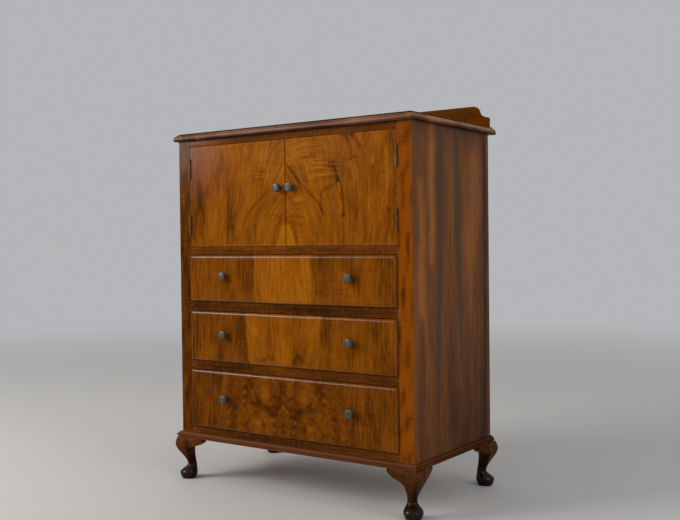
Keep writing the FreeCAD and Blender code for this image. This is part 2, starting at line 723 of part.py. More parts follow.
def quirk(height, low):
    """Thin square line sunk round the field, just inside the rounded edge."""
    def frame_at(inset):
        edge = f"drawer_round + {inset}"
        return block((f"-{DRAWER_HALF} + {edge}", f"{DRAWER_HALF} - ({edge})"),
                     (FACE, f"{FACE} + quirk_depth"),
                     (f"{low} + {edge}", f"{low} + {height} - ({edge})"))
    return cut(frame_at("0"), [frame_at("quirk_width")])


thick = value("drawer_front_thick")
for number, (low, opening, rail) in DRAWERS.items():
    front_low = f"({low} + drawer_front_lift)"
    front_height = f"({opening} - drawer_front_lift - drawer_top_gap)"
    side_low = f"({low} + drawer_run_gap)"
    side_top = f"({low} + {opening} - drawer_side_drop)"
    groove_low = f"({side_low} + drawer_bottom_lift)"
    groove_top = f"({groove_low} + drawer_bottom_thick + 2 * groove_play)"
    knob_z = f"({low} + {opening} / 2 + drawer_knob_rise)"
    front = outline_body(rectangle(f"2 * {DRAWER_HALF}", front_height), "XZ_Plane", "drawer_front_thick")
    rounded(front, lambda edge: lies_at(edge, "y", -thick), "drawer_round")
    place(front, f"-{DRAWER_HALF}", FRONT_BACK, front_low)
    holes = [quirk(front_height, front_low)]
    knobs = []
    for side in (-1, 1):
        knob_x = at_x(side, "drawer_knob_spread / 2")
        holes.append(stud_hole(knob_x, FACE, knob_z, "drawer_front_thick"))
        knobs += knob(knob_x, FACE, knob_z, "drawer_front_thick")
        holes.append(block(across(side, INNER_HALF, DRAWER_HALF), (LAP, FRONT_BACK),
                           (front_low, f"{front_low} + {front_height}")))
        board = block(across(side, INNER_HALF, DRAWER_HALF), (LAP, DRAWER_BACK), (side_low, side_top))
        channel = block(across(side, INNER_HALF, GROOVE_HALF), (LAP, DRAWER_BACK), (groove_low, groove_top))
        name = "left" if side < 0 else "right"
        keep(f"drawer_{number}_side_{name}", cut(board, [channel]))
        guide = block(across(side, HALF_OPENING, INNER_SIDE), BEHIND_RAILS, (low, f"{low} + guide_height"))
        runner = block(across(side, RUNNER_INNER, INNER_SIDE), BEHIND_RAILS, (f"{low} - {rail}", low))
        keep(f"runner_{number}_{name}", group([runner, guide]))
    holes.append(block((f"-{INNER_HALF}", INNER_HALF), (f"{FRONT_BACK} - groove_depth", FRONT_BACK),
                       (groove_low, groove_top)))
    keep(f"drawer_{number}_front", cut(front, holes))
    keep(f"drawer_{number}_knobs", group(knobs))
    panel_low = f"({groove_low} + groove_play)"
    panel_top = f"({panel_low} + drawer_bottom_thick)"
    keep(f"drawer_{number}_bottom", block(
        (f"-{GROOVE_HALF} + groove_play", f"{GROOVE_HALF} - groove_play"),
        (f"{FRONT_BACK} - groove_depth + groove_play", DRAWER_BACK), (panel_low, panel_top)))
    back_levels = (panel_top, f"{side_top} - drawer_back_drop")
    keep(f"drawer_{number}_back", block((f"-{INNER_HALF}", INNER_HALF),
                                        (f"{DRAWER_BACK} - drawer_back_thick", DRAWER_BACK), back_levels))

doc.recompute()
for piece in doc.Objects:
    if "Invalid" in piece.State or "Error" in piece.State:
        raise RuntimeError(f"{piece.Name} ({piece.Label}) failed: {piece.State}")
for label, piece in nodes.items():
    shape = piece.Shape
    if shape.isNull() or not shape.isValid() or not shape.Solids:
        raise RuntimeError(f"{label} has no valid solid")
for label, piece in nodes.items():
    piece.Shape.exportStep(f"parts/{label}.step")
    box = piece.Shape.BoundBox
    spans = [(box.XMin, box.XMax), (box.YMin, box.YMax), (box.ZMin, box.ZMax)]
    reach = ", ".join(f"{low:.1f} to {high:.1f}" for low, high in spans)
    print(f"{label}: {len(piece.Shape.Solids)} solids, {piece.Shape.Volume / 1000:.1f} cm3, reach {reach}")
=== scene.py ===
# %% [markdown]
# # Dressing a walnut tallboy
#
# The construction of this tallboy already exists as solids: carcass, doors, drawers, hinges and legs, each in
# its place. Here those solids get their looks. The show wood is figured walnut veneer, so most of the work is
# in the way the grain runs. Pieces that a plain solid shows too sharply, such as mouldings, legs and knobs,
# are modelled again as meshes in exactly the same places.

# %% Load the solids
import math
import bmesh
import bpy
import numpy as np
from mathutils import Matrix, Vector


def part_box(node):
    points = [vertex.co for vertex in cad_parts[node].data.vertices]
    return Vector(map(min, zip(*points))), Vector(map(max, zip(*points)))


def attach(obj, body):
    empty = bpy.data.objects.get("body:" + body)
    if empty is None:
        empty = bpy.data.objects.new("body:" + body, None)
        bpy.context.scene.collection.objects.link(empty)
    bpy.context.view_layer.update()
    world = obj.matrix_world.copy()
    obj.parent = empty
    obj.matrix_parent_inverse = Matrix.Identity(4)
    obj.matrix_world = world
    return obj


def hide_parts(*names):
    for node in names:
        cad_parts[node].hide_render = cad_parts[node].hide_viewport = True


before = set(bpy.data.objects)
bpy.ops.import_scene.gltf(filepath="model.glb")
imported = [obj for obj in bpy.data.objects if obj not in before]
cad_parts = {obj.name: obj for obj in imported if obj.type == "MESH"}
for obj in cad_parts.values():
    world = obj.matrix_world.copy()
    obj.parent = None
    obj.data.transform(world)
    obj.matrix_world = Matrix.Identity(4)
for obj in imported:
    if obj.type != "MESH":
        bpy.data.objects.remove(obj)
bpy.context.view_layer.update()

# %% [markdown]
# ## The camera
#
# The camera stands to the right of the piece, a little above its middle, and looks slightly down at it. Its
# place and turn are kept as plain numbers, so that the render can be laid over a photograph of the piece.

# %% Camera
def stand(name, data):
    """New object in the scene, at the origin."""
    made = bpy.data.objects.new(name, data)
    bpy.context.scene.collection.objects.link(made)
    return made


EYE = Vector((1.7143, -2.3821, 0.7522))
YAW, PITCH, ROLL = -0.6146, -0.019, -0.0111
FOCAL_PIXELS, IMAGE_PIXELS, SENSOR_MM = 934.4, 680, 36.0

ahead = Vector((math.sin(YAW) * math.cos(PITCH), math.cos(YAW) * math.cos(PITCH), math.sin(PITCH)))
level_right = Vector((math.cos(YAW), -math.sin(YAW), 0))
level_up = level_right.cross(ahead)
right = math.cos(ROLL) * level_right + math.sin(ROLL) * level_up
up = -math.sin(ROLL) * level_right + math.cos(ROLL) * level_up
turn = Matrix((right, up, -ahead)).transposed().to_4x4()

camera = stand("camera", bpy.data.cameras.new("camera"))
camera.data.sensor_width = SENSOR_MM
camera.data.lens = FOCAL_PIXELS * SENSOR_MM / IMAGE_PIXELS
camera.matrix_world = Matrix.Translation(EYE) @ turn
bpy.context.scene.camera = camera
bpy.context.scene.view_settings.view_transform = "Standard"
print("lens:", round(camera.data.lens, 1), "mm")

# %% [markdown]
# ## Sums inside a node tree
#
# A shader is a net of small boxes, and a formula such as 0.5 + 2 * noise takes three of them. The class below
# wraps one socket and gives it the plus, minus and times signs, so the formulas further down read as they
# would on paper. Everything that isn't a sum is made by one method, node.

# %% Sums on sockets
class Flow:
    """One output socket, which can be added to, multiplied and so on."""

    def __init__(self, net, socket):
        self.net = net
        self.socket = socket

    def sum(self, operation, first, second):
        return self.net.node("ShaderNodeMath", {"operation": operation}, {0: first, 1: second})

    def __add__(self, other):
        return self.sum("ADD", self, other)

    __radd__ = __add__

    def __sub__(self, other):
        return self.sum("SUBTRACT", self, other)

    def __rsub__(self, other):
        return self.sum("SUBTRACT", other, self)

    def __mul__(self, other):
        return self.sum("MULTIPLY", self, other)

    __rmul__ = __mul__

    def between(self, low, high):
        """0 below low, 1 above high and a smooth rise in between."""
        return self.net.node("ShaderNodeMapRange", {"interpolation_type": "SMOOTHSTEP"},
                             {"Value": self, "From Min": low, "From Max": high})


print("sockets take +, - and *")

# %% Node trees
class Net:
    """A node tree and the one method that adds to it."""

    def __init__(self, tree):
        self.tree = tree

    def feed(self, socket, value):
        if isinstance(value, Flow):
            self.tree.links.new(value.socket, socket)
        elif socket.type == "RGBA" and len(value) == 3:
            socket.default_value = (*value, 1.0)
        else:
            socket.default_value = value

    def node(self, kind, settings=None, values=None, out=0):
        made = self.tree.nodes.new(kind)
        for name, setting in (settings or {}).items():
            if name == "stops":
                self.set_stops(made.color_ramp, setting)
            else:
                setattr(made, name, setting)
        for name, value in (values or {}).items():
            self.feed(made.inputs[name], value)
        return Flow(self, made.outputs[out])

    def set_stops(self, ramp, stops):
        while len(ramp.elements) < len(stops):
            ramp.elements.new(1.0)
        for element, (spot, colour) in zip(ramp.elements, stops):
            element.position = spot
            element.color = (*colour, 1.0)


print("node trees ready")

# %% Materials
class Finish(Net):
    """A material: its node tree with one Principled shader."""

    def __init__(self, name):
        self.material = bpy.data.materials.new(name)
        self.material.use_nodes = True
        super().__init__(self.material.node_tree)
        self.shader = self.tree.nodes["Principled BSDF"]

    def set(self, **sockets):
        for name, value in sockets.items():
            self.feed(self.shader.inputs[name.replace("_", " ")], value)

    def noise(self, place, along, across, detail=2.0, roughness=0.5):
        """Cloudy noise from 0 to 1, which repeats about so many times in a metre along and across."""
        spot = self.node("ShaderNodeVectorMath", {"operation": "MULTIPLY"},
                         {0: place, 1: (along, across, across)})
        return self.node("ShaderNodeTexNoise", {}, {"Vector": spot, "Scale": 1.0, "Detail": detail,
                                                    "Roughness": roughness})

    def mixed(self, share, first, second):
        """Two colours mixed: a share of 0 gives the first, 1 the second."""
        return self.node("ShaderNodeMix", {"data_type": "RGBA"}, {0: share, 6: first, 7: second}, out=2)

    def mark(self, name):
        """A value painted on the mesh."""
        return self.node("ShaderNodeAttribute", {"attribute_name": name}, out=2)

    def bump(self, height, distance, strength):
        relief = {"Strength": strength, "Distance": distance, "Height": height}
        self.set(Normal=self.node("ShaderNodeBump", {}, relief))


print("materials ready")

# %% [markdown]
# ## Walnut
#
# Wood has a direction. Along the grain everything is drawn out, across it the colour changes every few
# millimetres. Each board therefore carries its own grain coordinates, painted on its mesh: how far along,
# how far across, how deep. The finish layers four things in those coordinates: broad bands of colour, narrow
# lines, hair-fine fibres, and dark pores. Figured pieces get soft clouds and the cross ripple of curly wood
# as well. What belongs to one place on a piece is painted on its mesh too, and read here by name: its tone,
# a stain, worn spots, and polish, which is varnish that has kept its gloss. In places the tone, the stain
# and the worn spots also carry painted light and shade. A photograph of wood could be wrapped round the
# boards instead, but it would repeat, and it couldn't follow the turns of the grain.

# %% Walnut finish
def grain_from_mesh(finish):
    return finish.node("ShaderNodeAttribute", {"attribute_name": "grain"}, out=1)


def grain_along(axis):
    """Grain coordinates for a squared solid, straight from its place, with the grain along one axis."""
    def coordinates(finish):
        place = finish.node("ShaderNodeTexCoord", out=3)
        split = finish.node("ShaderNodeSeparateXYZ", {}, {0: place}).socket.node
        order = {"x": "XYZ", "y": "YZX", "z": "ZXY"}[axis]
        values = {i: Flow(finish, split.outputs[letter]) for i, letter in enumerate(order)}
        return finish.node("ShaderNodeCombineXYZ", {}, values)
    return coordinates


def wood(name, tones, grain=grain_from_mesh, painted=True, broad=0.45, narrow=0.4, fibre=0.3, cloud=0.0,
         ripple=0.0, gloss=0.3, shine=0.0, coat=0.015, stain=None, wear_tone=(0.2, 0.1, 0.05),
         pore_depth=0.4):
    """Wood in three tones from dark to light, with the given strengths of band, line, fibre and cloud."""
    finish = Finish(name)
    along = grain(finish)
    bands = finish.noise(along, 1.8, 19)
    lines = finish.noise(along, 12, 150, detail=3.0, roughness=0.7)
    hairs = finish.noise(along, 22, 820)
    pores = finish.noise(along, 95, 2300, detail=0.0).between(0.6, 0.72)
    depth = 0.5 + broad * (bands - 0.5) + narrow * (lines - 0.5) + fibre * (hairs - 0.5)
    if cloud:
        clouds = finish.noise(along, 16, 52, detail=4.0, roughness=0.6)
        depth = depth + cloud * (clouds - 0.5)
    if ripple:
        curl = finish.noise(along, 155, 17)
        depth = depth + ripple * finish.mark("ripple") * (curl - 0.5)
    if painted:
        depth = depth + finish.mark("tone")
    dark, middle, light = tones
    stops = [(0.0, tuple(0.65 * c for c in dark)), (0.16, dark), (0.5, middle), (0.88, light)]
    colour = finish.node("ShaderNodeValToRGB", {"stops": stops}, {0: depth})
    if stain:
        colour = finish.mixed(finish.mark("stain") * (0.75 + 0.5 * lines), colour, stain)
    colour = finish.mixed(pores * pore_depth, colour, tuple(0.4 * c for c in dark))
    sheen = gloss + 0.12 * (lines - 0.5) + 0.25 * pores
    if painted:
        scuffs = finish.noise(along, 130, 260, detail=3.0).between(0.4, 0.64)
        wear = finish.mark("wear") * scuffs
        colour = finish.mixed(wear, colour, wear_tone)
        sheen = sheen + 0.2 * wear
        coat = coat + finish.mark("polish")
    finish.set(Base_Color=colour, Roughness=sheen, Specular_IOR_Level=shine, Coat_Weight=coat,
               Coat_Roughness=0.2)
    finish.bump(hairs - 0.6 * pores, 0.00012, 0.35)
    return finish.material


print("wood recipe ready")

# %% [markdown]
# ## The walnuts of this piece
#
# No two parts were cut from the same board. Doors and drawers share one figured veneer, the sides have a
# striped one, and the legs and the base are darker, plainer wood. Each takes its three tones from dark to
# light, and more or less of every layer. The wear tone is the colour that shows where varnish is rubbed off.

# %% Walnut finishes
FIGURED_TONES = ((0.073, 0.0205, 0.0022), (0.235, 0.067, 0.003), (0.395, 0.138, 0.005))
STRAIGHT_TONES = ((0.046, 0.0125, 0.0014), (0.112, 0.03, 0.0018), (0.24, 0.057, 0.0022))
RUBBED_TONES = ((0.036, 0.014, 0.007), (0.125, 0.045, 0.021), (0.22, 0.105, 0.055))
STRIPED_TONES = ((0.052, 0.016, 0.004), (0.156, 0.049, 0.01), (0.3, 0.098, 0.014))
BASE_TONES = ((0.026, 0.0085, 0.0025), (0.082, 0.0255, 0.006), (0.165, 0.055, 0.014))
LEG_TONES = ((0.005, 0.0018, 0.001), (0.026, 0.0075, 0.0014), (0.105, 0.03, 0.0026))
LINING_TONES = ((0.2, 0.105, 0.045), (0.36, 0.22, 0.11), (0.48, 0.33, 0.19))
REDDISH_VARNISH_AND_REFLECTION, WORN_AND_HIGHLIT_EDGE = (0.175, 0.046, 0.026), (0.3, 0.195, 0.115)
GREEN_STREAK, WORN_AND_HIGHLIT_MOULDING = (0.062, 0.034, 0.016), (0.17, 0.056, 0.024)
FINISHES = {
    # The doors' stain is reddish varnish together with a painted reflection of the light
    "door_veneer": wood("figured_walnut_doors", FIGURED_TONES, broad=0.26, narrow=0.62, fibre=0.6, cloud=0.34,
                        ripple=1.25, stain=REDDISH_VARNISH_AND_REFLECTION, wear_tone=(0.36, 0.15, 0.03)),
    "drawer_veneer": wood("figured_walnut_drawers", FIGURED_TONES, broad=0.28, narrow=0.6, fibre=0.6,
                          cloud=0.32, ripple=0.25, wear_tone=(0.3, 0.12, 0.03)),
    "front_walnut": wood("straight_walnut", STRAIGHT_TONES, narrow=0.6, fibre=0.5, cloud=0.42, ripple=0.7),
    # The top's stain and wear tone make its edge pale, partly wear and partly a painted highlight
    "top_walnut": wood("rubbed_walnut", RUBBED_TONES, cloud=0.3, stain=WORN_AND_HIGHLIT_EDGE,
                       wear_tone=(0.3, 0.19, 0.115)),
    "side_veneer": wood("striped_walnut", STRIPED_TONES, broad=0.3, narrow=0.8, fibre=0.5, cloud=0.12,
                        gloss=0.46, shine=0.1, coat=0.0, stain=GREEN_STREAK),
    # The base's stain makes its round and bead redder, partly wear and partly a painted highlight
    "base_walnut": wood("base_walnut", BASE_TONES, cloud=0.2, stain=WORN_AND_HIGHLIT_MOULDING),
    "leg_walnut": wood("dark_walnut", LEG_TONES, gloss=0.27, shine=0.025, coat=0.01,
                       wear_tone=(0.18, 0.07, 0.018)),
    "drawer_lining": wood("drawer_wood", LINING_TONES, gloss=0.62, coat=0.0, wear_tone=(0.42, 0.3, 0.19)),
}
print("walnut finishes:", len(FINISHES))

# %% [markdown]
# ## Plain woods inside
#
# Runners, bearers and the thin plywood never saw varnish. They are squared boards that were sawn and left,
# so the solids stay as they are and only take a dry, pale finish, with the grain along each board.

# %% Inside woods
PINE_TONES = ((0.22, 0.12, 0.055), (0.38, 0.24, 0.12), (0.5, 0.36, 0.21))
PLY_TONES = ((0.2, 0.11, 0.05), (0.34, 0.2, 0.1), (0.44, 0.29, 0.16))
# Each finish: its tones, the way its grain runs, and the solids that take it
INSIDE = {
    "runner_wood": (PINE_TONES, "y", ["floor_bearers"] + [f"runner_{n}_left" for n in (1, 2, 3)]
                    + [f"runner_{n}_right" for n in (1, 2, 3)]),
    "back_rail_wood": (PINE_TONES, "x", ["base_rail_back"] + [f"drawer_{n}_back" for n in (1, 2, 3)]),
    "back_ply": (PLY_TONES, "z", ["back_panel"]),
    "floor_ply": (PLY_TONES, "x", ["cupboard_floor"] + [f"drawer_{n}_bottom" for n in (1, 2, 3)]),
}
for finish_name, (tones, axis, node_names) in INSIDE.items():
    dry = wood(finish_name, tones, grain_along(axis), painted=False, gloss=0.7, coat=0.0, fibre=0.5,
               pore_depth=0.25)
    for node_name in node_names:
        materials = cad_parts[node_name].data.materials
        materials.clear()
        materials.append(dry)
print("plain boards:", sum(len(names) for _, _, names in INSIDE.values()))

# %% [markdown]
# ## Metals
#
# The knobs are cast and have dulled to a grey green, dark where nobody's fingers reach. The hinges are brass
# that has gone brown, and the catches are brighter where they rub.

# %% Metal finishes
def old_metal(name, bare, film, dirt, roughness, metallic):
    """Metal under a film that has worn away in patches, with dirt painted into the hollows."""
    finish = Finish(name)
    place = finish.node("ShaderNodeTexCoord", out=3)
    patches = finish.noise(place, 160, 160, detail=4.0).between(0.4, 0.62)
    grit = finish.noise(place, 900, 900)
    colour = finish.mixed(patches, bare, film)
    colour = finish.mixed(finish.mark("hollow") * 0.6, colour, dirt)
    roughness = roughness + 0.22 * patches + 0.2 * (grit - 0.5)
    finish.set(Base_Color=colour, Metallic=metallic, Roughness=roughness)
    finish.bump(grit + patches * 0.5, 0.00025, 0.5)
    return finish.material


# Each metal: its name, where it is bare, under its film, in the dirt of its hollows, and its roughness
METALS = {
    "knob_metal": ("dull_knob_metal", (0.069, 0.064, 0.042), (0.03, 0.027, 0.017), (0.008, 0.007, 0.005),
                   0.4),
    "hinge_brass": ("brown_brass", (0.2, 0.105, 0.05), (0.1, 0.052, 0.025), (0.012, 0.006, 0.003), 0.36),
    "catch_metal": ("rubbed_brass", (0.5, 0.36, 0.15), (0.26, 0.17, 0.07), (0.03, 0.02, 0.01), 0.25),
    "screw_steel": ("old_steel", (0.16, 0.14, 0.12), (0.07, 0.05, 0.04), (0.01, 0.01, 0.01), 0.4),
}
for slot, looks in METALS.items():
    FINISHES[slot] = old_metal(*looks, metallic=0.35 if slot == "knob_metal" else 1.0)
print("metals:", len(METALS))

# %% [markdown]
# ## Turning points and faces into pieces
#
# Every made piece starts as a list of points and a list of faces between them. Points that fall together are
# merged and all the faces are turned outwards, because a renderer and a printer both need to know which side
# of the wood is air.

# %% Making pieces
def made_of(name, work):
    """The mesh under work as a new piece."""
    mesh = bpy.data.meshes.new(name)
    work.to_mesh(mesh)
    work.free()
    return stand(name, mesh)


def mesh_piece(name, points, faces):
    """Closed mesh from points and faces, with every face pointing outwards."""
    mesh = bpy.data.meshes.new(name)
    mesh.from_pydata([tuple(p) for p in points], [], [tuple(f) for f in faces])
    work = bmesh.new()
    work.from_mesh(mesh)
    bmesh.ops.remove_doubles(work, verts=work.verts, dist=1e-6)
    bmesh.ops.recalc_face_normals(work, faces=work.faces)
    bpy.data.meshes.remove(mesh)
    return made_of(name, work)


def join(name, pieces):
    """Several meshes as one piece, the parts of each kept apart."""
    work = bmesh.new()
    for piece in pieces:
        work.from_mesh(piece.data)
        bpy.data.objects.remove(piece)
    return made_of(name, work)


def settled(piece):
    """The piece with its modifiers worked out, as a plain mesh."""
    scene_state = bpy.context.evaluated_depsgraph_get()
    plain = bpy.data.meshes.new_from_object(piece.evaluated_get(scene_state), preserve_all_data_layers=True,
                                            depsgraph=scene_state)
    piece.modifiers.clear()
    piece.data = plain
    return piece


print("pieces can be made, joined and settled")

# %% [markdown]
# ## Painting on a mesh
#
# Paint here is a number, or a place, kept at every corner of every face. The finish reads it and Blender
# blends it across the face. It takes a fine grid of faces to carry a fine pattern, but a pattern made this
# way knows the real size of the wood, and it stays on the piece when the piece is exported.

# %% Paint
def corners_of(mesh):
    """Place of every face corner, and the middle of the face it belongs to."""
    places = np.empty(len(mesh.vertices) * 3)
    mesh.vertices.foreach_get("co", places)
    vertex_of = np.empty(len(mesh.loops), dtype=int)
    mesh.loops.foreach_get("vertex_index", vertex_of)
    sizes = np.empty(len(mesh.polygons), dtype=int)
    mesh.polygons.foreach_get("loop_total", sizes)
    middles = np.empty(len(mesh.polygons) * 3)
    mesh.polygons.foreach_get("center", middles)
    return places.reshape(-1, 3)[vertex_of], np.repeat(middles.reshape(-1, 3), sizes, axis=0)


def paint(mesh, name, values):
    kind = "FLOAT_VECTOR" if values.ndim == 2 else "FLOAT"
    layer = mesh.attributes.new(name, kind, "CORNER")
    layer.data.foreach_set("vector" if values.ndim == 2 else "value", values.astype(np.float32).ravel())


def paint_dirt(piece, share):
    """The same share of dirt all over a metal piece."""
    paint(piece.data, "hollow", np.full(len(piece.data.loops), share))


print("meshes can be painted")

# %% [markdown]
# ## Patterns
#
# Wood never repeats and never runs quite straight. A few slow waves in random directions, added up, give a
# drift that can bend a grain line or mottle a tone. Soft spots and strokes set the marks that one certain
# piece of veneer has, each at its own place.

# %% Patterns
def drift(first, second, size, seed, waves=6):
    """Slow wandering between about -1 and 1 over a plane, the same on every run."""
    spin = np.random.default_rng(seed)
    total = np.zeros_like(first)
    for _ in range(waves):
        heading, phase = spin.uniform(0, 2 * math.pi, 2)
        length = size * spin.uniform(0.7, 1.7)
        travel = first * math.cos(heading) + second * math.sin(heading)
        total += np.sin(travel * 2 * math.pi / length + phase)
    return total / waves ** 0.5 * 0.8


def ramp(values, low, high):
    """0 below low, 1 above high and a smooth rise in between, for arrays."""
    share = np.clip((values - low) / (high - low), 0, 1)
    return share * share * (3 - 2 * share)


def blend(first, last, share):
    """From first to last by a share."""
    return first + (last - first) * share


def spots_sum(across, upright, spots):
    """Soft round patches, all added up: place, half sizes and strength in hundredths."""
    total = 0
    for (a, u), (half_a, half_u), strength in spots:
        total = total + strength / 100 * np.exp(-((across - a) / half_a) ** 2 - ((upright - u) / half_u) ** 2)
    return total


def stroke(across, upright, path, half_width, crispness=2):
    """Soft line through points: 1 on it and near 0 beyond its half width, one for all or one a point."""
    halves = np.broadcast_to(half_width, len(path))
    nearest = np.full_like(across, np.inf)
    for (a0, u0), (a1, u1), first, last in zip(path, path[1:], halves, halves[1:]):
        run_a, run_u = a1 - a0, u1 - u0
        share = np.clip(((across - a0) * run_a + (upright - u0) * run_u) / (run_a ** 2 + run_u ** 2), 0, 1)
        away = np.hypot(across - a0 - share * run_a, upright - u0 - share * run_u)
        nearest = np.minimum(nearest, away / blend(first, last, share))
    return np.exp(-nearest ** crispness)


def strokes_sum(across, upright, strokes, crispness=2):
    """Strokes, all added up: path, half width and strength in hundredths."""
    return sum(strength / 100 * stroke(across, upright, path, half, crispness)
               for path, half, strength in strokes)


print("patterns ready")

# %% [markdown]
# ## Wear and varnish
#
# Hands and dusters rub an edge before they reach a face, so wear is painted by the distance to the nearest
# edge. Varnish is lost in the same way, but at the upper left of this front it has kept its full gloss.

# %% Wear and varnish
def thick_varnish(places):
    """The upper left of the front, where the varnish has kept its full gloss."""
    x, z = 1000 * places[:, 0], 1000 * places[:, 2]
    return 0.16 * ramp(z, 820, 1060) * (1 - ramp(x, -420, -180))


def polished(fields, share):
    """The same fields with a share of varnish as well."""
    return lambda places, middles: {**fields(places, middles), "polish": share(places)}


def edge_wear(places, middles, reach):
    """1 on the arrises of a squared piece, falling to 0 within reach; large plain faces stay unworn."""
    low, high = places.min(axis=0), places.max(axis=0)
    to_edge = [np.sort(np.minimum(spots - low, high - spots), axis=1)[:, 1] for spots in (places, middles)]
    return np.exp(-to_edge[0] / reach) * (to_edge[1] < 6 * reach)


print("wear and varnish ready")

# %% [markdown]
# ## Dressing a piece
#
# Every made piece ends with the same steps, so one function does them all. It paints the fields, each a named
# value over the mesh, shades the piece smooth but keeps its real corners crisp, gives it its finish, hangs it
# on the body it rides on and hides the solids it stands for.

# %% Dressing
CORNER_ANGLE = math.radians(38)
AXES = {"x": (0, 1, 2), "y": (1, 2, 0), "z": (2, 0, 1)}


def straight_grain(axis, offset, wander, size, tone, blotch, seed):
    """Grain along one axis, wandering a little, as fields for a board."""
    def fields(places, middles):
        along, across, deep = (places[:, i] for i in AXES[axis])
        sway = wander * drift(along, across * 2, size, seed)
        grain = np.stack([along + offset, across + sway + offset * 3, deep + offset], axis=1)
        shade = tone + blotch * drift(along, across * 3, size * 0.8, seed + 50)
        return {"grain": grain, "tone": shade, "ripple": 0.5 + 0.5 * drift(along, across, 0.2, seed + 9)}
    return fields


def dress(piece, body, slot, stands_for=(), fields=None, wear=0.0, wear_reach=0.003):
    """The last steps for every made piece."""
    mesh = piece.data
    places, middles = corners_of(mesh)
    if fields:
        for name, values in fields(places, middles).items():
            paint(mesh, name, values)
    if "wear" not in mesh.attributes:
        paint(mesh, "wear", wear * edge_wear(places, middles, wear_reach))
    mesh.shade_smooth()
    mesh.set_sharp_from_angle(angle=CORNER_ANGLE)
    mesh.materials.clear()
    mesh.materials.append(FINISHES[slot])
    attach(piece, body)
    if stands_for:
        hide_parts(*stands_for)
    return piece


def also_finished(piece, slot, faces):
    """A second finish on some faces of a piece."""
    piece.data.materials.append(FINISHES[slot])
    piece.data.polygons.foreach_set("material_index", faces.astype(np.int32))


print("pieces can be dressed")

# %% [markdown]
# ## Prisms and slabs
#
# Two shapes cover almost all of the joinery. A prism is one outline drawn out along an axis: stiles, rails,
# sides. It is a simple case of a loft, a skin over a row of rings, which also makes the legs and the knobs. A
# slab is a flat field with a moulding round it: doors, drawer fronts, the top. A slab's field is a grid, so
# that the grain painted on it can turn and swirl, and the moulding is a row of frames around that grid, each
# one a step further out and back. Small blocks and plates are boxes with their edges taken off.

# %% Prisms
def lines(low, high, pitch, extra=()):
    """Grid lines from low to high about one pitch apart, with extra lines put in."""
    count = max(1, round((high - low) / pitch))
    regular = [low + (high - low) * i / count for i in range(count + 1)]
    added = [e for e in extra if low < e < high]
    kept = [r for r in regular[1:-1] if all(abs(r - e) > pitch * 0.3 for e in added)]
    return sorted([low, high] + kept + added)


def softened(outline, radii, steps=3):
    """Closed outline with a radius for each corner, where 0 leaves it sharp."""
    result = []
    for i, corner in enumerate(outline):
        if not radii[i]:
            result.append(corner)
            continue
        here, before, after = Vector(corner), Vector(outline[i - 1]), Vector(outline[(i + 1) % len(outline)])
        first = here + (before - here).normalized() * radii[i]
        last = here + (after - here).normalized() * radii[i]
        for step in range(steps + 1):
            share = step / steps
            curve = (1 - share) ** 2 * first + 2 * share * (1 - share) * here + share ** 2 * last
            result.append(tuple(curve))
    return result


def divided(outline, pitch):
    """Long sides of an outline cut into equal lengths."""
    result = []
    for i, corner in enumerate(outline):
        following = outline[(i + 1) % len(outline)]
        count = max(1, round(math.dist(corner, following) / pitch))
        for step in range(count):
            share = step / count
            result.append(tuple(blend(a, b, share) for a, b in zip(corner, following)))
    return result


def loft(name, rings):
    """Skin over a row of rings, closed at both ends."""
    count = len(rings[0])
    points = [p for ring in rings for p in ring]
    faces = [tuple(range(count)), tuple(range(len(points) - count, len(points)))]
    for row in range(len(rings) - 1):
        for i in range(count):
            a, b = row * count + i, row * count + (i + 1) % count
            faces.append((a, b, b + count, a + count))
    return mesh_piece(name, points, faces)


def circle(radius, level, sides, centre=(0, 0), start=0.0):
    """Level ring of points round a centre; a start of 0.5 turns it by half a side."""
    turns = [math.tau * (i + start) / sides for i in range(sides)]
    return [(centre[0] + radius * math.cos(t), centre[1] + radius * math.sin(t), level) for t in turns]


def in_space(axis, flat, level):
    """Point of a flat outline that stands at a level along one axis."""
    spots = list(flat)
    spots.insert("xyz".index(axis), level)
    return tuple(spots)


def prism(name, outline, axis, levels):
    """Outline in the other two axes, drawn out along one axis through the levels."""
    return loft(name, [[in_space(axis, flat, level) for flat in outline] for level in levels])


print("prisms ready")

# %% Slabs and boxes
def square_faces(columns, rows):
    """Faces of a grid whose points run along its rows."""
    corners = [row * columns + column for row in range(rows - 1) for column in range(columns - 1)]
    return [(corner, corner + 1, corner + columns + 1, corner + columns) for corner in corners]


def slab(name, place, across, upright, steps, grow=(1, 1, 1, 1)):
    """A gridded field and frames round it.

    place turns (across, upright, depth) into a point. steps are (out, depth) from the field's border, and
    grow says how much of each step the four sides take: low and high across, low and high upright.
    """
    columns, rows = len(across), len(upright)
    flat = [(a, u) for u in upright for a in across]
    points = [place(a, u, 0.0) for a, u in flat]
    faces = square_faces(columns, rows)
    border = list(range(columns)) + [r * columns + columns - 1 for r in range(1, rows)]
    border += [(rows - 1) * columns + c for c in range(columns - 2, -1, -1)]
    border += [r * columns for r in range(rows - 2, 0, -1)]
    previous = border
    for out, depth in steps:
        start = len(points)
        for index in border:
            a, u = flat[index]
            share_a = (a - across[0]) / (across[-1] - across[0])
            share_u = (u - upright[0]) / (upright[-1] - upright[0])
            moved_a = a + out * (grow[1] * share_a - grow[0] * (1 - share_a))
            moved_u = u + out * (grow[3] * share_u - grow[2] * (1 - share_u))
            points.append(place(moved_a, moved_u, depth))
        ring = list(range(start, len(points)))
        for i in range(len(ring)):
            j = (i + 1) % len(ring)
            faces.append((previous[i], previous[j], ring[j], ring[i]))
        previous = ring
    faces.append(tuple(previous))
    return mesh_piece(name, points, faces)


def quarter(count, first=0):
    """Angles of a quarter turn in equal steps."""
    return [math.pi / 2 * i / count for i in range(first, count + 1)]


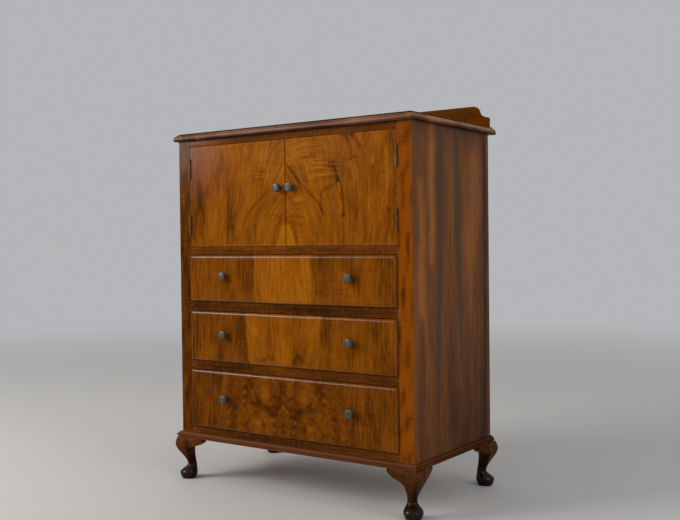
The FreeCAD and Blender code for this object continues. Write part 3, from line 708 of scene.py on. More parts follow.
def round_steps(out, deep, radius, count, flatness=1):
    """Steps round an edge, from lying flat to standing upright; a flatness above 1 makes it less full."""
    return [(out + radius * math.sin(t) ** flatness, deep + radius * (1 - math.cos(t) ** flatness))
            for t in quarter(count, 1)]


def edged_box(name, low, high, arris):
    """Box with all its edges taken off a little."""
    work = bmesh.new()
    bmesh.ops.create_cube(work, size=1.0)
    size, middle = Vector(high) - Vector(low), (Vector(low) + Vector(high)) / 2
    for vertex in work.verts:
        vertex.co = middle + Vector(c * s for c, s in zip(vertex.co, size))
    bmesh.ops.bevel(work, geom=list(work.edges), offset=arris, segments=2, affect="EDGES", profile=0.5)
    return made_of(name, work)


print("slabs and boxes ready")

# %% [markdown]
# ## The front frame
#
# Two stiles run the whole height and five rails lie between them. They were planed and sanded by hand, so
# their front edges are not knife sharp: each has an arris of about a millimetre. The rails come first, with
# their grain sideways. The stiles are made with the sides, whose veneer covers their outer faces.

# %% Front rails
ARRIS = 0.001
RAIL_PITCH, RAIL_LEVELS = 0.012, 0.04


def box_outline(low, high, axes, radii):
    """Rectangle over two axes, its corners rounded, starting at the low corner and going round."""
    i, j = axes
    corners = [(low[i], low[j]), (high[i], low[j]), (high[i], high[j]), (low[i], high[j])]
    return softened(corners, radii)


RAIL_TONES = {"top_rail": -0.04, "cupboard_rail": 0.0, "drawer_rail_upper": -0.24,
              "drawer_rail_lower": -0.2, "bottom_rail": -0.16}
for number, (rail, rail_tone) in enumerate(RAIL_TONES.items()):
    low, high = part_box(rail)
    outline = divided(box_outline(low, high, (1, 2), [ARRIS, 0, 0, ARRIS]), RAIL_PITCH)
    made = prism(f"planed_{rail}", outline, "x", lines(low.x, high.x, RAIL_LEVELS))
    grain = straight_grain("x", 4.1 + number, 0.003, 0.5, rail_tone, 0.12, 20 + number)
    dress(made, "carcass", "front_walnut", [rail], polished(grain, thick_varnish), wear=0.3)
print("front frame:", len(RAIL_TONES), "rails")

# %% [markdown]
# ## The sides
#
# Each side is one sheet of veneer with the grain upright, and it covers the outer face of the stile too. Two
# dark, greenish streaks run down it and thin out towards the floor. The side is painted darker towards the
# floor as painted shade, and darker under the top as its painted shadow. A narrow groove parts the side from
# the post behind it, and beside the groove the post has a dark red line, which is dark stain and the painted
# shadow of the recess there. On the front the right stile is a lively piece with a mottled figure, and the
# left one is plainer and darker. The streaks are painted as soft strokes whose middle and width change with
# the height.

# %% Side figure
SIDES = (("left", -1), ("right", 1))
CARCASS_HALF, CARCASS_FRONT, CARCASS_BACK = 0.432, -0.228, 0.229
SAME_FACE, GRAIN_SLANT = 5e-5, 0.02
# In mm back from the front and up from the floor: path, half width, strength in hundredths. The first two
# are the dark streaks.
STREAKS = [
    ([(154, 1115), (152, 850), (148, 628), (138, 434), (126, 270)], [24, 25, 20, 14, 3], 85),
    ([(257, 1115), (256, 822), (262, 628), (273, 482), (277, 370)], [18, 25, 14, 8, 3], 85),
    ([(12, 1090), (16, 930), (22, 760)], 15, 45),
    ([(72, 1060), (76, 930), (80, 790)], 6, 40),
    ([(205, 1090), (210, 900), (204, 700)], 7, 22),
]
LIGHT_PATHS = [
    ([(108, 1100), (108, 900), (102, 700)], 16, 30),
    ([(44, 900), (46, 740), (52, 560)], 19, 36),
    ([(70, 540), (68, 230)], 13, 18),
    ([(206, 1060), (208, 800)], 14, 12),
    ([(340, 980), (350, 840), (336, 700)], 42, 12),
]


def side_fields(seed):
    """Veneer of the whole side, over the edge of the front stile as well."""
    def fields(places, middles):
        across, along = places[:, 1], places[:, 2]
        back, rise = 1000 * (across - CARCASS_FRONT), 1000 * along
        back = back + 3.0 * drift(along * 2, across, 0.4, seed)
        back = back + 1.5 * drift(along, across * 3, 0.06, seed + 1)
        # Painted shade: darker towards the floor, most towards the back
        shade = -0.34 * (1 - ramp(rise, 120, 640)) * (0.25 + 0.75 * ramp(back, 60, 330))
        # Painted shadow of the top's overhang near the top, and darker towards the back edge
        shade -= 0.3 * ramp(rise, 1000, 1120) + 0.2 * ramp(back, 372, 420)
        shade += strokes_sum(back, rise, LIGHT_PATHS)
        shade += 0.07 * drift(along, across * 4, 0.35, seed + 2)
        stain = strokes_sum(back, rise, STREAKS, 3)
        grain = np.stack([along * 0.6 + seed, across + 0.001 * back * GRAIN_SLANT, places[:, 0]], axis=1)
        nothing = np.zeros_like(along)
        return {"grain": grain, "tone": shade, "ripple": nothing, "stain": np.clip(stain, 0, 0.9),
                "polish": nothing}
    return fields


def post_fields(front):
    """A plain post with a dark red line beside the groove: dark stain, and the painted shadow of the recess
    there.
    """
    plain = straight_grain("z", 9.0, 0.004, 0.4, -0.16, 0.06, 31)

    def fields(places, middles):
        values = plain(places, middles)
        back = 1000 * (places[:, 1] - front)
        # Dark red line beside the groove: dark stain and the painted shadow of the recess
        values["tone"] = values["tone"] - 0.6 * ramp(back, 0, 3) * (1 - ramp(back, 11, 15))
        return values
    return fields


def front_and_outer(front, outer, edge):
    """Fields for a stile: its own grain, and the veneer of the side on its outer face."""
    def fields(places, middles):
        outside = np.abs(middles[:, 0]) > edge - SAME_FACE
        own, veneer = front(places, middles), outer(places, middles)
        own.update(stain=np.zeros(len(places)), polish=thick_varnish(places))
        return {name: np.where(outside[:, None] if own[name].ndim == 2 else outside, veneer[name], own[name])
                for name in veneer}
    return fields


print("side streaks:", len(STREAKS))

# %% Stiles, side panels and posts
GROOVE = 0.004
STILE_PITCH, PANEL_PITCH, POST_PITCH, UPRIGHT_LEVELS, POST_LEVELS = 0.006, 0.005, 0.004, 0.012, 0.03
# Where the grain of each stile starts, its tone and how mottled it is
STILES = {"left": (0.7, -0.12, 0.14), "right": (2.3, 0.31, 0.3)}
for side, sign in SIDES:
    veneer = side_fields(5 + len(side))
    low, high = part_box(f"stile_{side}")
    outline = divided(box_outline(low, high, (0, 1), [ARRIS, ARRIS, 0, 0]), STILE_PITCH)
    stile = prism(f"figured_stile_{side}", outline, "z", lines(low.z, high.z, UPRIGHT_LEVELS))
    start, stile_tone, blotch = STILES[side]
    own_grain = straight_grain("z", start, 0.005, 0.11, stile_tone, blotch, 3 + len(side))
    dress(stile, "carcass", "front_walnut", [f"stile_{side}"],
          front_and_outer(own_grain, veneer, CARCASS_HALF), wear=0.4, wear_reach=0.0015)
    on_side = [abs(face.center.x) > CARCASS_HALF - SAME_FACE for face in stile.data.polygons]
    also_finished(stile, "side_veneer", np.array(on_side))
    low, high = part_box(f"side_{side}")
    outer, inner = (high.x, low.x) if sign > 0 else (low.x, high.x)
    sunk, edge = outer - sign * GROOVE, high.y - GROOVE
    outline = [(inner, low.y), (outer, low.y), (outer, edge), (sunk, edge), (sunk, high.y), (inner, high.y)]
    panel = prism(f"veneered_side_{side}", divided(outline, PANEL_PITCH), "z",
                  lines(low.z, high.z, UPRIGHT_LEVELS))
    dress(panel, "carcass", "side_veneer", [f"side_{side}"], veneer)
    low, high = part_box(f"back_post_{side}")
    radii = [0, ARRIS, ARRIS, 0] if sign > 0 else [ARRIS, 0, 0, ARRIS]
    outline = divided(box_outline(low, high, (0, 1), radii), POST_PITCH)
    post = prism(f"planed_post_{side}", outline, "z", lines(low.z, high.z, POST_LEVELS))
    dress(post, "carcass", "side_veneer", [f"back_post_{side}"], post_fields(low.y), wear=0.3)
print("sides: 2 stiles, 2 panels and 2 posts")

# %% [markdown]
# ## The doors
#
# The two doors are veneered with leaves cut one after the other from a crotch, where the tree forks, and
# opened like a book: the figure on one side mirrors the other. The grain climbs steeply towards the meeting
# line, so its lines form pointed arches above a pale tongue at the foot. The arches come from one formula: a
# point's place across the grain is its distance from the meeting line plus a share of its height, and that
# share fades towards the hinges, where the grain stands upright. The faces are painted darker beside the
# meeting line. The upper left is painted reddish, partly old varnish and partly a painted reflection of the
# light, and the inner faces are plain.

# %% Door marks
# Marks in the veneer, in mm across from the meeting line and up from the floor: path, half width, and
# strength in hundredths, dark below 0 and light above
DOOR_STROKES = [
    # thin veins that climb to the meeting line
    ([(-22, 1052), (-38, 1036), (-52, 1022), (-58, 1002), (-68, 984)], 2.8, -14),
    ([(-5, 1002), (-12, 985), (-22, 966), (-33, 950), (-48, 930)], 2.6, -15),
    ([(-60, 908), (-80, 893), (-98, 882), (-122, 868), (-142, 848), (-152, 826)], 5.0, -9),
    ([(6, 987), (21, 968), (35, 948), (53, 925), (76, 906), (95, 890), (113, 872), (128, 852), (138, 826)],
     2.3, -21),
    ([(24, 972), (34, 950), (50, 928)], 4.5, -8),
    ([(84, 912), (100, 888), (122, 866)], 2.2, -11),
    # the hooked loop of the right door
    ([(136, 838), (129, 866), (130, 890), (140, 904), (158, 910), (174, 915), (187, 927)], 4.5, -14),
    ([(190, 930), (199, 910), (207, 880), (210, 852), (206, 830)], 3.6, -19),
    ([(199, 826), (207, 824), (212, 829)], 5.0, -19),
    ([(152, 905), (158, 872), (168, 836), (172, 800)], 3.0, -8),
    ([(178, 906), (182, 870), (190, 838)], 2.6, -7),
    ([(188, 920), (194, 905), (198, 896)], 2.4, 15),
    # the dark branch above it
    ([(206, 1058), (226, 1056), (242, 1054)], 7.0, -19),
    ([(215, 1052), (226, 1034), (234, 1012), (243, 992)], 3.4, -14),
    ([(236, 1052), (250, 1038), (262, 1018)], 6.5, -12),
    ([(206, 986), (226, 984), (256, 991)], 3.2, -14),
    ([(236, 1002), (235, 960), (236, 930)], 2.4, -8),
    ([(170, 978), (182, 962), (186, 940)], 9.0, -11),
    ([(183, 934), (189, 928)], 6.0, -13),
    ([(160, 938), (172, 930)], 4.0, -7),
    # upright lines of the right door
    ([(205, 984), (207, 940)], 1.8, -8),
    ([(205, 816), (206, 760)], 2.4, -11),
    ([(204, 753), (206, 748)], 6.0, -17),
    ([(253, 982), (252, 880), (250, 826)], 2.6, -7),
    ([(246, 850), (244, 790)], 7.0, -7),
    ([(228, 962), (229, 912)], 2.2, -6),
    ([(283, 930), (285, 800)], 3.0, -4),
    ([(310, 862), (320, 846), (312, 830)], 6.0, -6),
    ([(324, 870), (336, 840), (345, 800)], 3.0, -8),
    ([(343, 944), (345, 940)], 4.0, -17),
    ([(354, 844), (356, 838)], 4.5, -15),
    ([(362, 840), (360, 800), (366, 770)], 5.0, -8),
    ([(381, 802), (374, 822)], 3.5, -13),
    ([(310, 986), (309, 970)], 3.2, 32),
    ([(350, 1010), (351, 940), (352, 858)], 4.5, 12),
    ([(300, 1020), (303, 985)], 4.0, 6),
    ([(262, 1046), (268, 1034)], 9.0, 12),
    # short dark strokes beside the meeting line, and the dark fringe of the tongue
    ([(-62, 839), (-46, 836), (-18, 826)], 3.2, -14),
    ([(-74, 826), (-44, 821)], 3.0, -8),
    ([(4, 823), (30, 829), (62, 827)], 3.6, -11),
    ([(18, 812), (60, 806)], 6.0, -8),
    ([(-46, 752), (-43, 778), (-36, 800), (-20, 816)], 6.0, -11),
    ([(37, 752), (36, 784), (28, 804), (14, 815)], 4.5, -9),
    # brown column and upright lines of the left door
    ([(-214, 928), (-208, 880), (-210, 836), (-206, 806)], 17, -11),
    ([(-226, 926), (-225, 870), (-228, 812), (-229, 750)], 2.4, -12),
    ([(-223, 804), (-226, 752)], 4.5, -9),
    ([(-206, 792), (-204, 766)], 12, -7),
    ([(-343, 950), (-341, 916), (-349, 882), (-353, 848)], 6.0, -9),
    ([(-345, 904), (-338, 870), (-326, 838), (-319, 800)], 6.0, -9),
    ([(-309, 938), (-311, 904)], 5.0, -8),
    ([(-371, 1042), (-369, 1020)], 5.0, -11),
    ([(-248, 1036), (-250, 1008)], 6.0, -10),
    ([(-262, 990), (-265, 900)], 4.0, -6),
    ([(-230, 990), (-233, 900)], 3.4, -6),
    ([(-290, 860), (-292, 800), (-286, 760)], 4.0, -4),
    ([(-148, 802), (-145, 768)], 3.0, -9),
    ([(-170, 868), (-176, 830), (-170, 800)], 4.0, -7),
    ([(-118, 806), (-116, 752)], 3.0, -7),
    ([(-92, 792), (-96, 752)], 3.4, -7),
    ([(-74, 792), (-86, 754)], 3.0, -7),
    ([(-152, 930), (-122, 933), (-84, 925)], 3.0, -7),
    ([(-150, 906), (-120, 902)], 3.0, -4),
    ([(-154, 1040), (-150, 1024)], 6.0, 9),
    ([(-360, 1030), (-358, 996)], 3.4, 9),
]
# Broad tones over both doors, in mm: place, half sizes, strength in hundredths. Beside the wood's own tone
# they hold painted light, lighter towards the top middle, and a painted shadow below the left door's knob
DOOR_SPOTS = [
    ((10, 1010), (150, 80), 10), ((-310, 880), (70, 170), -3), ((-222, 880), (16, 110), -7),
    ((-345, 900), (20, 130), -9), ((-130, 900), (40, 150), 3), ((75, 855), (30, 55), 10),
    ((-385, 900), (60, 240), -14), ((390, 900), (40, 240), -10), ((-300, 1050), (60, 30), 2),
    # The spot at (-35, 878) is the painted shadow of the left door's knob
    ((-35, 878), (20, 16), -16), ((100, 962), (90, 26), -4), ((-100, 855), (26, 20), -8),
    ((-260, 960), (60, 40), -4),
]
# Where cross ripple shows, in mm: place, half sizes, strength in hundredths
DOOR_RIPPLES = [((70, 1010), (60, 45), 100), ((140, 965), (55, 40), 110), ((35, 870), (30, 45), 80),
                ((-95, 950), (45, 35), 60), ((60, 770), (60, 25), 30)]
print("door marks:", len(DOOR_STROKES))

# %% Door figure
ARCH_SLOPE, ARCH_REACH, ARCH_SEED = 0.4, 0.36, 41
TONGUE_FOOT, TONGUE_TOP, TONGUE_HALF = 745, 810, 33
REDDISH_SEED, SKIN = 47, 0.0003


def door_fields(side, seed):
    def fields(places, middles):
        x, z = 1000 * places[:, 0], 1000 * places[:, 2]
        sway_x = 2.2 * drift(x, z, 60, seed) + 0.9 * drift(x, z, 16, seed + 1)
        sway_z = 2.2 * drift(x, z, 60, seed + 2)
        shade = 1.35 * strokes_sum(x + sway_x, z + sway_z, DOOR_STROKES) + spots_sum(x, z, DOOR_SPOTS)
        level = np.clip((z - TONGUE_FOOT) / (TONGUE_TOP - TONGUE_FOOT), 0, 1.5)
        tongue = np.hypot(x / TONGUE_HALF, level) + 0.05 * drift(x, z, 20, seed + 3)
        shade += 0.26 * (1 - ramp(tongue, 0.8, 1.06))
        shade += 0.05 * drift(x, z * 0.5, 70, seed + 4) - 0.03
        from_joint = np.abs(places[:, 0])
        rise = places[:, 2] - TONGUE_FOOT / 1000
        arch = ARCH_SLOPE * np.clip(1 - from_joint / ARCH_REACH, 0, 1) ** 2 * ramp(rise, 0.02, 0.12)
        lean = 0.1 * np.sign(places[:, 0]) * ramp(from_joint, 0.2, 0.38)
        sway = 0.004 * drift(rise * 1.4, from_joint * 2, 0.16, ARCH_SEED)
        across = from_joint + arch * rise - lean * rise + sway
        along = rise - arch * from_joint * 0.8
        ripple = spots_sum(x, z, DOOR_RIPPLES)
        offset = 0.0 if side == "right" else 0.9
        inside = middles[:, 1] > places[:, 1].max() - SKIN
        grain = np.stack([np.where(inside, places[:, 2], along) + offset,
                          np.where(inside, places[:, 0], across) + offset, places[:, 1]], axis=1)
        # Painted darker within a few millimetres of the meeting line, and left unworn there
        off_joint = ramp(from_joint, 0.0014, 0.0042)
        shade -= 0.2 * (1 - off_joint)
        # Reddish at the upper left of the left door: old varnish, and a painted reflection of the light
        # falling there
        faded = ramp(x + 12 * drift(x, z, 50, REDDISH_SEED), -390, -250)
        reddish = 0.5 * ramp(z, 850, 1040) * (1 - faded)
        return {"grain": grain, "tone": np.where(inside, -0.08, shade), "ripple": np.where(inside, 0, ripple),
                "stain": np.where(inside, 0, reddish), "polish": np.where(inside, 0, thick_varnish(places)),
                "wear": 0.9 * off_joint * edge_wear(places, middles, 0.0016)}
    return fields


print("arches over", ARCH_REACH, "m each side of the meeting line")

# %% Door slabs
VENEER_PITCH = 0.0028
DOOR_ARRIS, DOOR_BACK_ARRIS = [(0.0005, 0.00008), (0.0009, 0.0004), (0.001, 0.001)], 0.0006
for side in ("left", "right"):
    low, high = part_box(f"door_{side}_panel")
    edge = DOOR_ARRIS[-1][0]
    thick = high.y - low.y
    steps = DOOR_ARRIS + [(edge, thick - edge), (edge - DOOR_BACK_ARRIS, thick)]
    door = slab(f"veneered_door_{side}", lambda a, u, d: (a, low.y + d, u),
                lines(low.x + edge, high.x - edge, VENEER_PITCH),
                lines(low.z + edge, high.z - edge, VENEER_PITCH), steps)
    dress(door, f"door_{side}", "door_veneer", [f"door_{side}_panel"], door_fields(side, 300))
    print(f"door {side}: {high.x - low.x:.4f} by {high.z - low.z:.4f} m, {len(door.data.polygons)} faces")

# %% [markdown]
# ## Drawer fronts
#
# Every drawer front is a thick board with a quarter round along its four front edges. Just inside the round
# a narrow square line is sunk, which throws a thin shadow and makes the field look like a raised panel. The
# field is veneered in three leaves, and the joints between them are plain to see, because the wood changes
# colour there. The top two drawers have upright grain; the lowest is burr, with curls, eyes and pale blots
# mirrored about its middle. Behind the front the sides are joined with dovetails: wedge-shaped tails on the
# side, and pins between them on the front, that can't be pulled apart.

# %% Drawer marks
DRAWER_JOINTS = {1: (-117, 98), 2: (-147, 125), 3: (-252, 225)}
DRAWER_LEANS = {1: (0.0, 0.0), 2: (-0.069, 0.103), 3: (0.0, 0.02)}
DRAWER_MIDDLES = {1: 648, 2: 462, 3: 262}
LEAF_TONES = {1: (-0.13, 0.05, -0.12), 2: (-0.21, -0.03, -0.13), 3: (-0.27, -0.23, -0.18)}
# Upright brown columns in mm: left and right edge, how soft each is, where each edge ends below, strength
DRAWER_COLUMNS = {
    1: [
        (-184, -117, 9, 0.5, 590, 624, -10), (98, 148, 0.5, 9, 628, 592, -10),
        (-392, -366, 2, 8, 580, 580, -6),
    ],
    2: [
        (-184, -156, 5, 4, 470, 480, -7), (128, 168, 0.5, 8, 455, 440, -8),
        (-362, -342, 4, 5, 380, 380, -8), (310, 332, 6, 5, 380, 380, -6),
    ],
    3: [
        (-274, -252, 5, 1, 300, 290, -8), (-335, -322, 3, 3, 285, 285, -7),
        (-274, -250, 4, 3, 165, 165, -3), (228, 242, 1, 4, 165, 165, -8), (340, 352, 4, 4, 165, 165, -5),
        (296, 304, 3, 3, 260, 260, -5),
    ],
}
# Marks in mm across from the middle and up from the floor: path, half width, strength in hundredths
DRAWER_STROKES = {
    1: [
        ([(-101, 612), (-100, 592)], 5, -14), ([(-49, 618), (-50, 590)], 2.4, -18),
        ([(-42, 620), (-40, 604), (-36, 592)], 2.4, -20), ([(-26, 624), (-27, 594)], 3, -15),
        ([(-12, 616), (-14, 598)], 3, -11), ([(1, 608), (1, 590)], 2.4, -15),
        ([(-34, 700), (-34, 672)], 2, -8), ([(-60, 612), (-64, 592)], 4, -8),
        ([(-84, 606), (-84, 590)], 4, 6), ([(14, 668), (13, 640)], 2, -6), ([(60, 690), (62, 600)], 4, -6),
        ([(85, 640), (88, 600)], 5, -6), ([(-374, 700), (-373, 600)], 2.4, 7),
        ([(-362, 700), (-363, 600)], 2, 7), ([(-338, 640), (-340, 596)], 2.4, 10),
        ([(-348, 640), (-348, 596)], 2, -8), ([(-300, 700), (-296, 640)], 6, -3),
        ([(-205, 700), (-210, 600)], 5, 4), ([(-160, 700), (-161, 612)], 2.4, -6),
        ([(116, 700), (117, 622)], 3, -5), ([(160, 705), (163, 640)], 3, -7),
        ([(172, 705), (176, 596)], 2.4, -6), ([(184, 705), (188, 640)], 2, 6),
        ([(195, 668), (214, 642), (230, 614), (243, 592)], 9, 9), ([(205, 705), (212, 676)], 5, -7),
        ([(262, 668), (268, 630)], 12, -8), ([(318, 705), (316, 592)], 2, -11),
        ([(326, 705), (325, 592)], 1.8, -10), ([(337, 705), (340, 592)], 2.2, -11),
        ([(351, 705), (350, 592)], 3, -7), ([(363, 705), (362, 592)], 2, -11),
    ],
    2: [
        ([(-80, 404), (-62, 413), (-46, 404)], 9, -18), ([(-110, 402), (-80, 400)], 7, -10),
        ([(30, 400), (44, 420), (58, 412)], 9, -17), ([(62, 404), (96, 402)], 8, -11),
        ([(-14, 424), (-6, 410)], 22, 7), ([(-106, 470), (-112, 440)], 9, -7),
        ([(-48, 506), (-40, 496)], 8, -4), ([(60, 440), (90, 426)], 9, -6),
        ([(-150, 405), (-143, 388)], 4, -11), ([(146, 535), (150, 470)], 2.2, -8),
        ([(158, 535), (160, 440)], 2, -7), ([(334, 536), (336, 480), (348, 430), (363, 404)], 2.4, -15),
        ([(346, 532), (348, 470), (357, 440)], 2.4, -14), ([(340, 534), (342, 476), (352, 436)], 2, 8),
        ([(323, 536), (325, 480)], 2, -10), ([(-372, 522), (-366, 470), (-372, 430), (-388, 408)], 3, -11),
        ([(-379, 520), (-373, 470), (-379, 436)], 2.4, 10),
        ([(-359, 520), (-352, 470), (-358, 430), (-372, 402)], 3, -6), ([(-304, 500), (-296, 490)], 15, 5),
        ([(-300, 424), (-290, 416)], 16, 6), ([(265, 462), (268, 456)], 14, -7),
        ([(240, 500), (290, 420)], 9, 3), ([(205, 535), (208, 505)], 6, -6),
        ([(-160, 470), (-158, 400)], 3, -5),
    ],
    3: [
        ([(-330, 240), (-344, 225)], 14, 3), ([(-292, 236), (-296, 220)], 12, 7),
        ([(-376, 340), (-376, 200)], 3, -7), ([(306, 335), (316, 300)], 9, 7),
        ([(286, 300), (298, 240), (318, 200)], 7, -7), ([(262, 322), (258, 300)], 12, 3),
        ([(268, 230), (262, 210)], 12, 5), ([(362, 240), (363, 210)], 5, -10),
    ],
}
print("drawer marks:", sum(len(marks) for marks in DRAWER_STROKES.values()))

# %% Burr marks
# In mm out from the middle line of the burr and up from the floor: the same on both sides
BURR_MIDDLE = -10
BURR_STROKES = [
    ([(120, 276), (98, 272), (74, 264), (54, 252), (34, 240)], 8, -17), ([(108, 262), (84, 254)], 7, -7),
    ([(144, 342), (141, 312), (135, 288), (122, 270)], 5, -10),
    ([(124, 338), (115, 306), (104, 286), (90, 277)], 4.5, -11), ([(156, 335), (152, 300)], 4, -4),
    ([(112, 344), (104, 336)], 8, -6), ([(22, 346), (13, 331), (4, 314)], 5, -12),
    ([(0, 342), (0, 328)], 9, -9), ([(0, 206), (0, 196)], 11, -14),
    ([(30, 322), (28, 300), (18, 286)], 4, -7), ([(46, 332), (44, 300), (48, 282)], 4, -6),
    ([(0, 270), (12, 256), (26, 240), (40, 226), (50, 212)], 4, 7), ([(14, 262), (24, 258)], 5, -8),
    ([(78, 318), (72, 298)], 19, 15), ([(72, 236), (62, 232)], 11, 11), ([(112, 216), (98, 212)], 11, 9),
    ([(152, 250), (140, 240)], 13, 6), ([(104, 240), (84, 226), (76, 200)], 5, -8),
    ([(62, 214), (50, 196)], 5, -7), ([(128, 232), (142, 206)], 5, -7), ([(190, 300), (176, 330)], 14, 3),
    ([(205, 252), (180, 262)], 4, -6), ([(200, 225), (214, 200)], 9, 3), ([(20, 290), (0, 284)], 4, -6),
    ([(30, 222), (20, 232)], 5, 4),
]
print("burr marks:", len(BURR_STROKES))

# %% Drawer figure
LEAF_OUTER, CORE_DEPTH = 385, 0.0095


def column(x, z, shape):
    """Upright brown column with a slanting lower end."""
    left, right, soft_left, soft_right, foot_left, foot_right, strength = shape
    foot = blend(foot_left, foot_right, np.clip((x - left) / (right - left), 0, 1))
    past_left = ramp(x, left - soft_left, left + soft_left)
    past_right = ramp(x, right - soft_right, right + soft_right)
    return strength / 100 * (past_left * (1 - past_right)) * ramp(z, foot - 8, foot + 8)


def leaned(number, across, upright):
    """How far the veneer joints lean at this place, so that the grid's lines follow them."""
    joints, leans = DRAWER_JOINTS[number], DRAWER_LEANS[number]
    rise = upright * 1000 - DRAWER_MIDDLES[number]
    shifts = (0, leans[0] * rise, leans[1] * rise, 0)
    return float(np.interp(across * 1000, (-LEAF_OUTER, *joints, LEAF_OUTER), shifts)) / 1000


def drawer_fields(number, face):
    def fields(places, middles):
        x, z = 1000 * places[:, 0], 1000 * places[:, 2]
        off = 1000 * middles[:, 2] - DRAWER_MIDDLES[number]
        here = [joint + lean * off for joint, lean in zip(DRAWER_JOINTS[number], DRAWER_LEANS[number])]
        leaf = (1000 * middles[:, 0] > here[0]).astype(int) + (1000 * middles[:, 0] > here[1])
        sway_x = 1.6 * drift(x, z, 50, 60 + number) + 0.8 * drift(x, z, 14, 61 + number)
        sway_z = 2.0 * drift(x, z, 50, 63 + number)
        shade = np.array(LEAF_TONES[number])[leaf] + 0.06 * drift(x, z * 0.4, 90, 70 + number)
        shade += 0.6 * sum(column(x + sway_x, z + sway_z, shape) for shape in DRAWER_COLUMNS[number])
        shade += strokes_sum(x + sway_x, z + sway_z, DRAWER_STROKES[number])
        across = places[:, 0] + 0.004 * drift(x * 1.5, z * 0.6, 120, 60 + number) + leaf * 0.31
        along = places[:, 2] + number * 1.7 + leaf * 0.9
        if number == 2:
            fan = (places[:, 0] + 0.012) * (1 - 2.2 * (places[:, 2] - 0.43))
            across = np.where(leaf == 1, fan + 0.31, across)
        if number == 3:
            out = np.abs(x - BURR_MIDDLE)
            curl_x = 5.0 * drift(out, z, 46, 81) + 2.5 * drift(out, z, 18, 82)
            curl_z = 5.0 * drift(out, z, 46, 83) + 2.5 * drift(out, z, 18, 84)
            marks = strokes_sum(out + 0.6 * curl_x, z + 0.6 * curl_z, BURR_STROKES)
            shade += np.where(leaf == 1, marks * np.where(x < BURR_MIDDLE, 1.1, 0.9), 0)
            shade += np.where(leaf == 1, 0.05 * drift(out, z, 34, 85) + 0.04 * drift(out, z, 15, 86), 0)
            ring = np.hypot(out - 28, z - 262)
            across = np.where(leaf == 1, 1.5 * (0.6 * ring + 3.0 * curl_x) / 1000, across)
            along = np.where(leaf == 1, 1.5 * (0.35 * out + 3.0 * curl_z) / 1000, along)
        core = middles[:, 1] > face + CORE_DEPTH
        grain = np.stack([np.where(core, places[:, 0], along), np.where(core, places[:, 2], across),
                          places[:, 1] - face], axis=1)
        shade = np.where(core, -0.15, shade)
        fall = places[:, 1] - face
        rounded = ramp(fall, 0.00003, 0.0003) * (1 - core)
        return {"grain": grain, "tone": shade, "ripple": 0.5 + 0.5 * drift(x, z, 150, 90 + number),
                "polish": 0.5 * rounded * (1 - 0.5 * ramp(x, -300, 350))}
    return fields


print("leaves a drawer:", len(DRAWER_JOINTS[1]) + 1)

# %% Dovetails
TAILS = 3
TAIL_NARROW, TAIL_WIDE = 0.34, 0.43
DOVETAIL_GAP = 0.00012


def tail_shapes(low, high, front, back):
    """Outlines over Y and Z of the tails on a drawer side and of the pins between them."""
    pitch = (high - low) / TAILS
    narrow, wide = pitch * TAIL_NARROW, pitch * TAIL_WIDE
    tails, pins = [], []
    edge = edge_front = low
    for i in range(TAILS):
        middle = low + pitch * (i + 0.5)
        tails.append([(front + DOVETAIL_GAP, middle - wide), (back, middle - narrow),
                      (back, middle + narrow), (front + DOVETAIL_GAP, middle + wide)])
        pins.append([(front, edge_front), (back, edge), (back, middle - narrow - DOVETAIL_GAP),
                     (front, middle - wide - DOVETAIL_GAP)])
        edge, edge_front = middle + narrow + DOVETAIL_GAP, middle + wide + DOVETAIL_GAP
    pins.append([(front, edge_front), (back, edge), (back, high), (front, high)])
    return tails, pins


print("tails on each side:", TAILS)

# %% Drawer slabs
DRAWER_ROUND, QUIRK_WIDE, QUIRK_DEEP, LAP_DEEP = 0.009, 0.0012, 0.0008, 0.012
SIDE_ARRIS, SIDE_LEVELS, CORE_ARRIS, CORE_LAP = 0.0015, 0.05, 0.0003, 0.0005


def side_outline(inner, outer, groove, low, high, bottom_low, bottom_high):
    """Outline of a drawer side over X and Z, its top edges taken off and a groove for the bottom."""
    shift = SIDE_ARRIS if outer > inner else -SIDE_ARRIS
    rim = high - SIDE_ARRIS
    upper = [(outer, rim), (outer - shift, high), (inner + shift, high), (inner, rim)]
    slot = [(inner, bottom_high), (groove, bottom_high), (groove, bottom_low), (inner, bottom_low)]
    return [(inner, low), (outer, low)] + upper + slot


